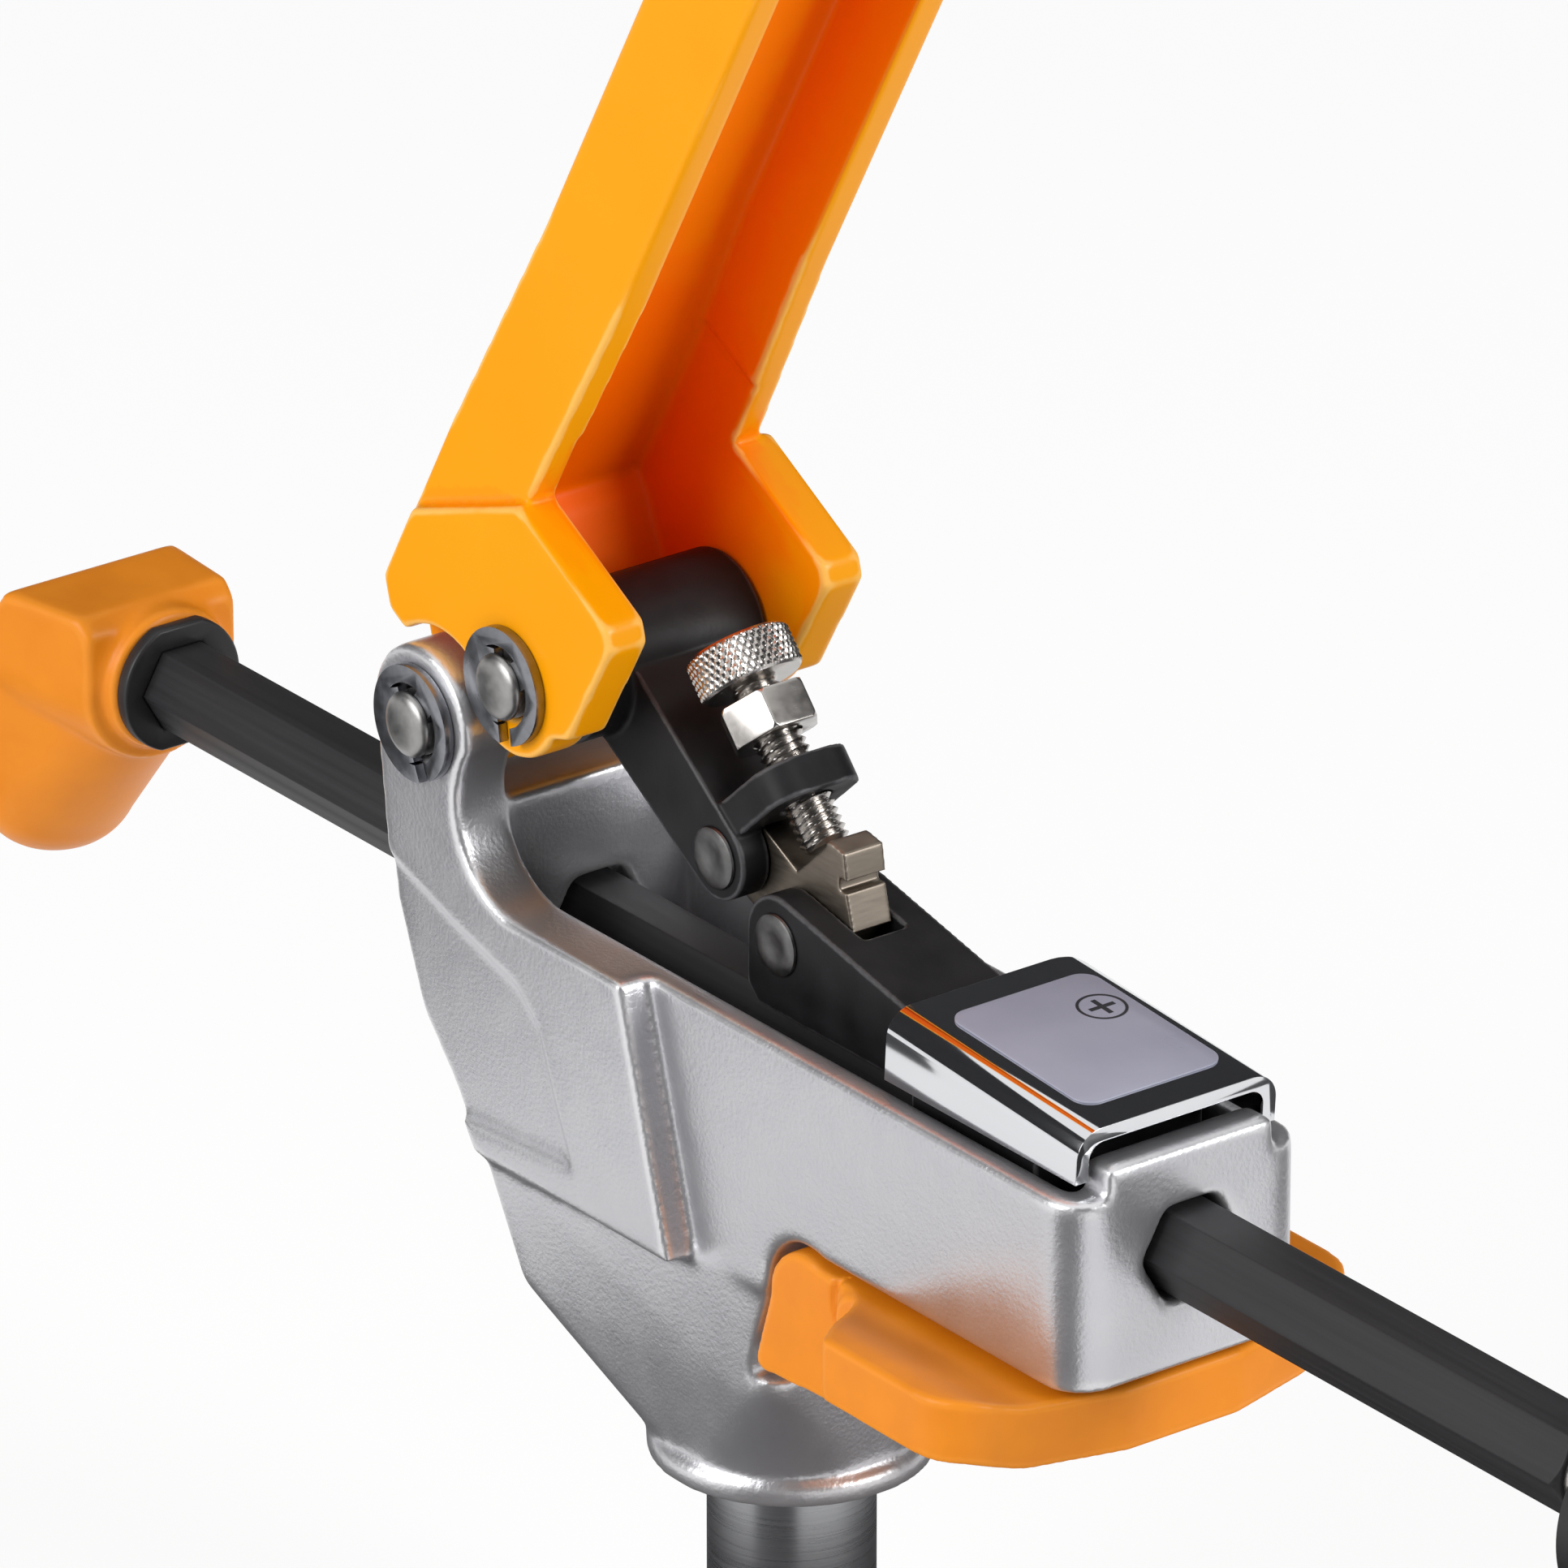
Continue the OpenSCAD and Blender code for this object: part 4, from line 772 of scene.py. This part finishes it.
# %% [markdown]
# ## Retaining clips
# Each pin is kept by two stamped spring clips with three prongs. One clip is taken
# from the CAD node, moved to the origin and given an even edge. The pair tree puts it
# in both grooves.

# %% Clips on both pins
CLIP_T, CLIP_PLAY = 1.2, 0.15
for pin, (place, seat) in PINS.items():
    clip = eased(f"{pin}_clips", 0.14, 2)
    skin = bmesh.new()
    skin.from_mesh(clip.data)
    bmesh.ops.delete(skin, geom=[v for v in skin.verts if v.co.y > 0], context="VERTS")
    middle = seat + CLIP_PLAY + CLIP_T / 2
    skin.transform(Matrix.Translation(Vector((-place[0], middle, -place[2])) * MM))
    skin.to_mesh(clip.data)
    skin.free()
    run_tree(clip, pair_tree, place=Vector(place) * MM, half_spacing=middle * MM, turn=0.0,
             finish=clip_steel)
    shade_by_angle(clip, SHADE_DEG)
    stand_in(clip, f"{pin}_clips", clip_steel)

# %% [markdown]
# ## Rivets
# The knee and the carriage turn on flush rivets with low heads, upset in a press that
# leaves a dimple in the middle. Half a rivet is turned, and the pair tree puts the two
# halves back to back.

# %% Rivets at the knee and on the carriage
# each rivet's middle, and half the width of what it holds
RIVETS = {"knee_rivet": ((-5.3, 0.0, 75.2), 7.0), "carriage_rivet": ((6.6, 0.0, 68.6), 7.1)}
for node, (place, half) in RIVETS.items():
    profile = [(0.0, 0.0), (1.98, 0.0), (1.98, half + 0.02), (3.7, half + 0.02), (3.8, half + 0.15),
               (3.7, half + 0.42), (3.3, half + 0.62), (2.6, half + 0.72), (1.6, half + 0.66),
               (0.9, half + 0.5), (0.0, half + 0.46)]
    rivet = turned(node + "_turned", profile, (0, 0, 0), 48)
    skin = bmesh.new()
    skin.from_mesh(rivet.data)
    skin.transform(Matrix.Rotation(math.pi, 4, "Z"))
    skin.to_mesh(rivet.data)
    skin.free()
    run_tree(rivet, pair_tree, place=Vector(place) * MM, half_spacing=0.0, turn=math.pi,
             finish=rivet_steel)
    shade_by_angle(rivet, TURNED_DEG)
    stand_in(rivet, node, rivet_steel)

# %% [markdown]
# ## Thread and knurl
# A thread and a knurl are the same thing to a designer: a bar whose radius follows a
# rule. A flat grid is rolled into a tube, and a triangle wave that climbs with the
# angle sets the radius. One wave makes a thread; two that cross make a diamond knurl.

# %% Geometry Nodes: a bar with a cut relief
INT = "NodeSocketInt"
relief_tree, r_in, r_out = open_group(
    "cut relief", "GeometryNodeTree",
    [("Geometry", GEOMETRY, None), ("Radius", FLOAT, 0.003), ("Length", FLOAT, 0.02),
     ("Depth", FLOAT, 0.0006), ("Lead", FLOAT, 0.001), ("Starts", FLOAT, 1.0),
     ("Crossing", FLOAT, 0.0), ("Chamfer", FLOAT, 0.0006), ("Columns", INT, 49),
     ("Rows", INT, 161), ("Finish", MATERIAL, None)],
    [("Geometry", GEOMETRY, None)])
flat = add(relief_tree, "GeometryNodeMeshGrid")
relief_tree.links.new(r_in.outputs["Columns"], flat.inputs["Vertices X"])
relief_tree.links.new(r_in.outputs["Rows"], flat.inputs["Vertices Y"])
split = add(relief_tree, "ShaderNodeSeparateXYZ")
relief_tree.links.new(add(relief_tree, "GeometryNodeInputPosition").outputs[0], split.inputs[0])
around = calc(relief_tree, "ADD", split.outputs["X"], 0.5)
along = calc(relief_tree, "ADD", split.outputs["Y"], 0.5)
height = calc(relief_tree, "MULTIPLY", along, r_in.outputs["Length"])
climb = calc(relief_tree, "DIVIDE", height, r_in.outputs["Lead"])
turns = calc(relief_tree, "MULTIPLY", around, r_in.outputs["Starts"])


def triangle_wave(phase):
    doubled = calc(relief_tree, "MULTIPLY", calc(relief_tree, "FRACT", phase), 2.0)
    return calc(relief_tree, "ABSOLUTE", calc(relief_tree, "SUBTRACT", doubled, 1.0))


right_hand = triangle_wave(calc(relief_tree, "SUBTRACT", climb, turns))
left_hand = calc(relief_tree, "MULTIPLY", triangle_wave(calc(relief_tree, "ADD", climb, turns)),
                 r_in.outputs["Crossing"])
groove = calc(relief_tree, "MAXIMUM", right_hand, left_hand)
cut = calc(relief_tree, "MULTIPLY", groove, r_in.outputs["Depth"])
to_top = calc(relief_tree, "SUBTRACT", r_in.outputs["Length"], height)
from_end = calc(relief_tree, "MINIMUM", height, to_top)
slant = calc(relief_tree, "SUBTRACT", r_in.outputs["Chamfer"], from_end)
ease = calc(relief_tree, "MAXIMUM", slant, 0.0)
deeper = calc(relief_tree, "MAXIMUM", cut, ease)
radius = calc(relief_tree, "SUBTRACT", r_in.outputs["Radius"], deeper)
angle = calc(relief_tree, "MULTIPLY", around, 2 * math.pi)
rolled = add(relief_tree, "ShaderNodeCombineXYZ")
for axis, trig in (("X", "COSINE"), ("Y", "SINE")):
    sideways = calc(relief_tree, "MULTIPLY", radius, calc(relief_tree, trig, angle))
    relief_tree.links.new(sideways, rolled.inputs[axis])
relief_tree.links.new(height, rolled.inputs["Z"])
roll = add(relief_tree, "GeometryNodeSetPosition")
relief_tree.links.new(flat.outputs["Mesh"], roll.inputs["Geometry"])
relief_tree.links.new(rolled.outputs[0], roll.inputs["Position"])
SEAM_WELD = 0.001
closed = add(relief_tree, "GeometryNodeMergeByDistance")
closed.inputs["Distance"].default_value = SEAM_WELD * MM
relief_tree.links.new(roll.outputs["Geometry"], closed.inputs["Geometry"])
whole = add(relief_tree, "GeometryNodeRealizeInstances")
relief_tree.links.new(closed.outputs["Geometry"], whole.inputs["Geometry"])
coat = add(relief_tree, "GeometryNodeSetMaterial")
relief_tree.links.new(whole.outputs["Geometry"], coat.inputs["Geometry"])
relief_tree.links.new(r_in.outputs["Finish"], coat.inputs["Material"])
relief_tree.links.new(coat.outputs["Geometry"], r_out.inputs["Geometry"])
print("tree:", relief_tree.name, len(relief_tree.nodes), "nodes")

# %% [markdown]
# ## The thumb screw
# The screw is M6 with a knurled head. Both come from the relief tree, get their end
# faces filled, and are joined on the screw's slanting axis, which runs from the tip on
# the lower link up to the head.

# %% Thumb screw
def relief_bar(start, frame_matrix, **values):
    piece = new_piece("relief_bar", bpy.data.meshes.new("relief_bar"))
    run_tree(piece, relief_tree, finish=nickel, **values)
    skin = bmesh.new()
    skin.from_mesh(piece.data)
    bpy.data.objects.remove(piece)
    bmesh.ops.holes_fill(skin, edges=[e for e in skin.edges if e.is_boundary], sides=0)
    skin.transform(frame_matrix @ Matrix.Translation((0, 0, start * MM)))
    bmesh.ops.recalc_face_normals(skin, faces=skin.faces)
    return skin


def joined(name, skins):
    mesh = bpy.data.meshes.new(name)
    whole = bmesh.new()
    for skin in skins:
        part = bpy.data.meshes.new("part")
        skin.to_mesh(part)
        skin.free()
        whole.from_mesh(part)
        bpy.data.meshes.remove(part)
    whole.to_mesh(mesh)
    whole.free()
    return new_piece(name, mesh)


SCREW_TIP, SCREW_SLOPE = (7.3, 0.0, 78.4), 47.7
screw_frame = (Matrix.Translation(Vector(SCREW_TIP) * MM)
               @ Matrix.Rotation(math.radians(SCREW_SLOPE - 90), 4, "Y"))
TIP_GAP, SHANK, HEAD_H, IN_HEAD, THREAD_DEG = 0.8, 21.6, 5.2, 0.3, 30
thread = relief_bar(
    TIP_GAP, screw_frame, radius=3.0 * MM, length=(SHANK + IN_HEAD - TIP_GAP) * MM,
    depth=0.55 * MM, lead=1.0 * MM, starts=1.0, crossing=0.0, chamfer=0.7 * MM,
    columns=61, rows=190)
head = relief_bar(
    SHANK, screw_frame, radius=6.4 * MM, length=HEAD_H * MM,
    depth=0.28 * MM, lead=1.5 * MM, starts=44.0, crossing=1.0, chamfer=0.5 * MM,
    columns=265, rows=32)
screw = joined("thumb_screw_cut", [thread, head])
shade_by_angle(screw, THREAD_DEG)
stand_in(screw, "thumb_screw", nickel)

# %% [markdown]
# ## Springs
# Two coil springs hide in the works: one pushes the jam plates over, and one holds
# the trigger up. A spiral curve swept with a round section is a spring, so the tree
# needs only the coil's radius, its wire, its length and its turns.

# %% Geometry Nodes: coil springs
coil_tree, c_in, c_out = open_group(
    "coil spring", "GeometryNodeTree",
    [("Geometry", GEOMETRY, None), ("Coil radius", FLOAT, 0.006), ("Wire", FLOAT, 0.001),
     ("Length", FLOAT, 0.006), ("Turns", FLOAT, 4.0), ("Finish", MATERIAL, None)],
    [("Geometry", GEOMETRY, None)])
path = add(coil_tree, "GeometryNodeCurveSpiral")
path.inputs["Resolution"].default_value = 40
for label, source in (("Rotations", "Turns"), ("Start Radius", "Coil radius"),
                      ("End Radius", "Coil radius"), ("Height", "Length")):
    coil_tree.links.new(c_in.outputs[source], path.inputs[label])
section = add(coil_tree, "GeometryNodeCurvePrimitiveCircle")
section.inputs["Resolution"].default_value = 12
half_wire = calc(coil_tree, "MULTIPLY", c_in.outputs["Wire"], 0.5)
coil_tree.links.new(half_wire, section.inputs["Radius"])
sweep = add(coil_tree, "GeometryNodeCurveToMesh")
sweep.inputs["Fill Caps"].default_value = True
coil_tree.links.new(path.outputs["Curve"], sweep.inputs["Curve"])
coil_tree.links.new(section.outputs["Curve"], sweep.inputs["Profile Curve"])
solid = add(coil_tree, "GeometryNodeRealizeInstances")
coil_tree.links.new(sweep.outputs["Mesh"], solid.inputs["Geometry"])
steel = add(coil_tree, "GeometryNodeSetMaterial")
coil_tree.links.new(solid.outputs["Geometry"], steel.inputs["Geometry"])
coil_tree.links.new(c_in.outputs["Finish"], steel.inputs["Material"])
coil_tree.links.new(steel.outputs["Geometry"], c_out.inputs["Geometry"])

# each spring's axis and the turn onto it, its wire in millimetres and its turns
SPRINGS = (("jam_spring", 0, ONTO_X, 1.1, 4.0), ("trigger_spring", 1, ONTO_Y, 1.0, 3.0))
for node, axis, turn, wire_d, turns_n in SPRINGS:
    low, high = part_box(node)
    middle = (low + high) / 2
    outer = (high - low)[2] / 2
    coil = new_piece(node + "_coil", bpy.data.meshes.new(node + "_coil"))
    run_tree(coil, coil_tree, coil_radius=outer - wire_d * MM / 2, wire=wire_d * MM,
             length=(high - low)[axis] - wire_d * MM, turns=turns_n, finish=spring_wire)
    start = middle.copy()
    start[axis] = low[axis] + wire_d * MM / 2
    coil.data.transform(Matrix.Translation(start) @ turn)
    stand_in(coil, node, spring_wire)

# %% [markdown]
# ## The mark on the label
# A circled plus is printed on the film. Ink has almost no thickness, but a flat ring a
# few hundredths of a millimetre proud is simple, exports as geometry and can't slide.

# %% Circled plus
COVER_TOP, COVER_TILT = 73.3, 3.8
label_frame = (Matrix.Translation(Vector((COVER_REAR, 0, COVER_TOP)) * MM)
               @ Matrix.Rotation(math.radians(COVER_TILT), 4, "Y"))
INK_LOW, INK_HIGH = 0.25, 0.29


def ink_outline(skin, outer, inner=None):
    """A flat printed shape: one outline, or a band between two outlines of equal length."""
    loops = [loop for loop in (outer, inner) if loop]
    low, high = [[[skin.verts.new(Vector((x, y, z)) * MM) for x, y in loop] for loop in loops]
                 for z in (INK_LOW, INK_HIGH)]
    n = len(outer)
    for k in range(n):
        j = (k + 1) % n
        skin.faces.new((low[0][k], low[0][j], high[0][j], high[0][k]))
        if inner:
            skin.faces.new((low[1][j], low[1][k], high[1][k], high[1][j]))
            skin.faces.new((high[0][k], high[0][j], high[1][j], high[1][k]))
            skin.faces.new((low[0][j], low[0][k], low[1][k], low[1][j]))
    if not inner:
        skin.faces.new(high[0])
        skin.faces.new(list(reversed(low[0])))


def circle(centre, radius, steps=64):
    return [(centre[0] + radius * math.cos(2 * math.pi * k / steps),
             centre[1] + radius * math.sin(2 * math.pi * k / steps)) for k in range(steps)]


ink = bmesh.new()
centre, ring_out, ring_in, arm, half_bar = (12.6, 6.6), 3.0, 2.65, 1.75, 0.32
ink_outline(ink, circle(centre, ring_out), circle(centre, ring_in))
plus = [(arm, half_bar), (half_bar, half_bar), (half_bar, arm)]
for _ in range(3):
    plus += [(-y, x) for x, y in plus[-3:]]
ink_outline(ink, [(centre[0] + x, centre[1] + y) for x, y in plus])
ink.transform(label_frame)
bmesh.ops.recalc_face_normals(ink, faces=ink.faces)
mark_mesh = bpy.data.meshes.new("label_mark")
ink.to_mesh(mark_mesh)
ink.free()
label_mark = new_piece("label_mark", mark_mesh)
mark_mesh.materials.append(label_ink)
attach(label_mark, "carriage")
print("mark:", len(mark_mesh.polygons), "faces")

# %% [markdown]
# ## The camera
# The camera stands where the photographer stood: a long lens, a little above the
# clamp, ahead of it and on its right. Its three axes are written out, so that the
# picture's level line stays level.

# %% Camera
scene.view_settings.view_transform = "Standard"
lens = bpy.data.cameras.new("photo_camera")
lens.lens = 354.0
lens.sensor_width = 36
lens.clip_end = 20
camera = bpy.data.objects.new("photo_camera", lens)
right = Vector((0.6041, 0.7969, 0.0)).normalized()
back = Vector((0.7272, -0.5512, 0.4091)).normalized()
stand = Matrix((right, back.cross(right), back)).transposed().to_4x4()
stand.translation = Vector((1.28214, -0.97303, 0.80610))
camera.matrix_world = stand
scene.collection.objects.link(camera)
scene.camera = camera
print("camera at", [round(v, 3) for v in camera.matrix_world.translation])

# %% [markdown]
# ## Studio
# The clamp stands on its peg on a pale floor under soft light. The sky is white where
# the camera or a mirror looks at it, and dimmer as a lamp. Dark cloth hangs round the
# set and lies in mats on the floor, and only reflections show it: metal needs something
# dark to reflect, or it looks like white paint.

# %% Floor, sky, lamps and cloth
FLOOR_GAP, FLOOR_HALF, FLOOR_GLOW, GLOW_SHARE = 0.0002, 6.0, 1.05, 0.82
FLOOR_Z = cad_box[0][2] - FLOOR_GAP


def seen_directly(tree):
    """1 where the camera, a mirror or a glass looks, 0 for light that spreads."""
    rays = add(tree, "ShaderNodeLightPath").outputs
    either = calc(tree, "MAXIMUM", rays["Is Camera Ray"], rays["Is Glossy Ray"])
    return calc(tree, "MAXIMUM", either, rays["Is Transmission Ray"])


sky = bpy.data.worlds.new("studio_sky")
sky.use_nodes = True
sky_light = sky.node_tree.nodes["Background"]
sky_light.inputs["Color"].default_value = (1.0, 1.0, 1.0, 1.0)
SKY_AS_LAMP = 0.3
looked_at = seen_directly(sky.node_tree)
strength = calc(sky.node_tree, "MULTIPLY_ADD", looked_at, 1.0 - SKY_AS_LAMP, SKY_AS_LAMP)
sky.node_tree.links.new(strength, sky_light.inputs["Strength"])
scene.world = sky

floor_mesh = bpy.data.meshes.new("floor")
square = ((-1, -1), (1, -1), (1, 1), (-1, 1))
floor_mesh.from_pydata([(x * FLOOR_HALF, y * FLOOR_HALF, FLOOR_Z) for x, y in square],
                       [], [(0, 1, 2, 3)])
floor = new_piece("floor", floor_mesh)
floor_paint = new_finish("floor_paint", base_color=(0.9, 0.9, 0.9, 1.0), roughness=0.8)
glow = add(floor_paint.node_tree, "ShaderNodeEmission")
glow.inputs["Strength"].default_value = FLOOR_GLOW
lift = add(floor_paint.node_tree, "ShaderNodeMixShader")
looked_at = seen_directly(floor_paint.node_tree)
share = calc(floor_paint.node_tree, "MULTIPLY", looked_at, GLOW_SHARE)
floor_links = floor_paint.node_tree.links
floor_links.new(share, lift.inputs[0])
floor_links.new(floor_paint.node_tree.nodes["Principled BSDF"].outputs[0], lift.inputs[1])
floor_links.new(glow.outputs[0], lift.inputs[2])
floor_links.new(lift.outputs[0], floor_paint.node_tree.nodes["Material Output"].inputs["Surface"])
floor_mesh.materials.append(floor_paint)


def lamp(name, place, aim, size, watts):
    light = bpy.data.lights.new(name, "AREA")
    light.shape = "RECTANGLE"
    light.size, light.size_y = size
    light.energy = watts
    stand = bpy.data.objects.new(name, light)
    stand.location = place
    stand.rotation_euler = (Vector(aim) - Vector(place)).to_track_quat("-Z", "Y").to_euler()
    scene.collection.objects.link(stand)


LAMP_AIM = (0, 0, 0.08)
lamp("key_softbox", (-0.15, -1.4, 0.75), LAMP_AIM, (1.2, 0.9), 17.5)
lamp("front_softbox", (1.5, 0.6, 0.8), LAMP_AIM, (0.7, 0.7), 18.0)

dark_cloth = new_finish("dark_cloth", base_color=(0.06, 0.06, 0.065, 1.0), roughness=0.9)


def hang_cloth(name, corners, faces):
    """Dark cloth that only reflections show."""
    mesh = bpy.data.meshes.new(name)
    mesh.from_pydata(corners, [], faces)
    mesh.materials.append(dark_cloth)
    cloth = new_piece(name, mesh)
    for way in ("camera", "diffuse", "shadow", "transmission", "volume_scatter"):
        setattr(cloth, f"visible_{way}", False)


PANELS, RING, RING_LOW, RING_HIGH = 48, 2.9, 0.1, 3.2
spokes = [2 * math.pi * k / PANELS for k in range(PANELS)]
rim = [(RING * math.cos(a), RING * math.sin(a)) for a in spokes]
hang_cloth("cloth_ring", [(x, y, z) for z in (RING_LOW, RING_HIGH) for x, y in rim],
           [((k + 1) % PANELS, k, PANELS + k, PANELS + (k + 1) % PANELS) for k in range(PANELS)])
# each mat's first and last direction in degrees, and its inner and outer radius in metres
MATS = [(-180, 180, 0.0, 0.12), (-84, -30, 0.12, 2.8), (-175, -137, 0.21, 0.6), (36, 80, 0.2, 0.8)]
MAT_Z, DEG_PER_STEP = FLOOR_Z + 0.0005, 5
for number, (start, end, near, wide) in enumerate(MATS):
    steps = max(2, (end - start) // DEG_PER_STEP)
    turns_at = [math.radians(start + (end - start) * k / steps) for k in range(steps + 1)]
    corners = [(r * math.cos(a), r * math.sin(a), MAT_Z) for r in (near, wide) for a in turns_at]
    hang_cloth(f"cloth_mat_{number}", corners,
               [(k, k + 1 + steps, k + 2 + steps, k + 1) for k in range(steps)])
print("floor at", round(FLOOR_Z, 4), "m")
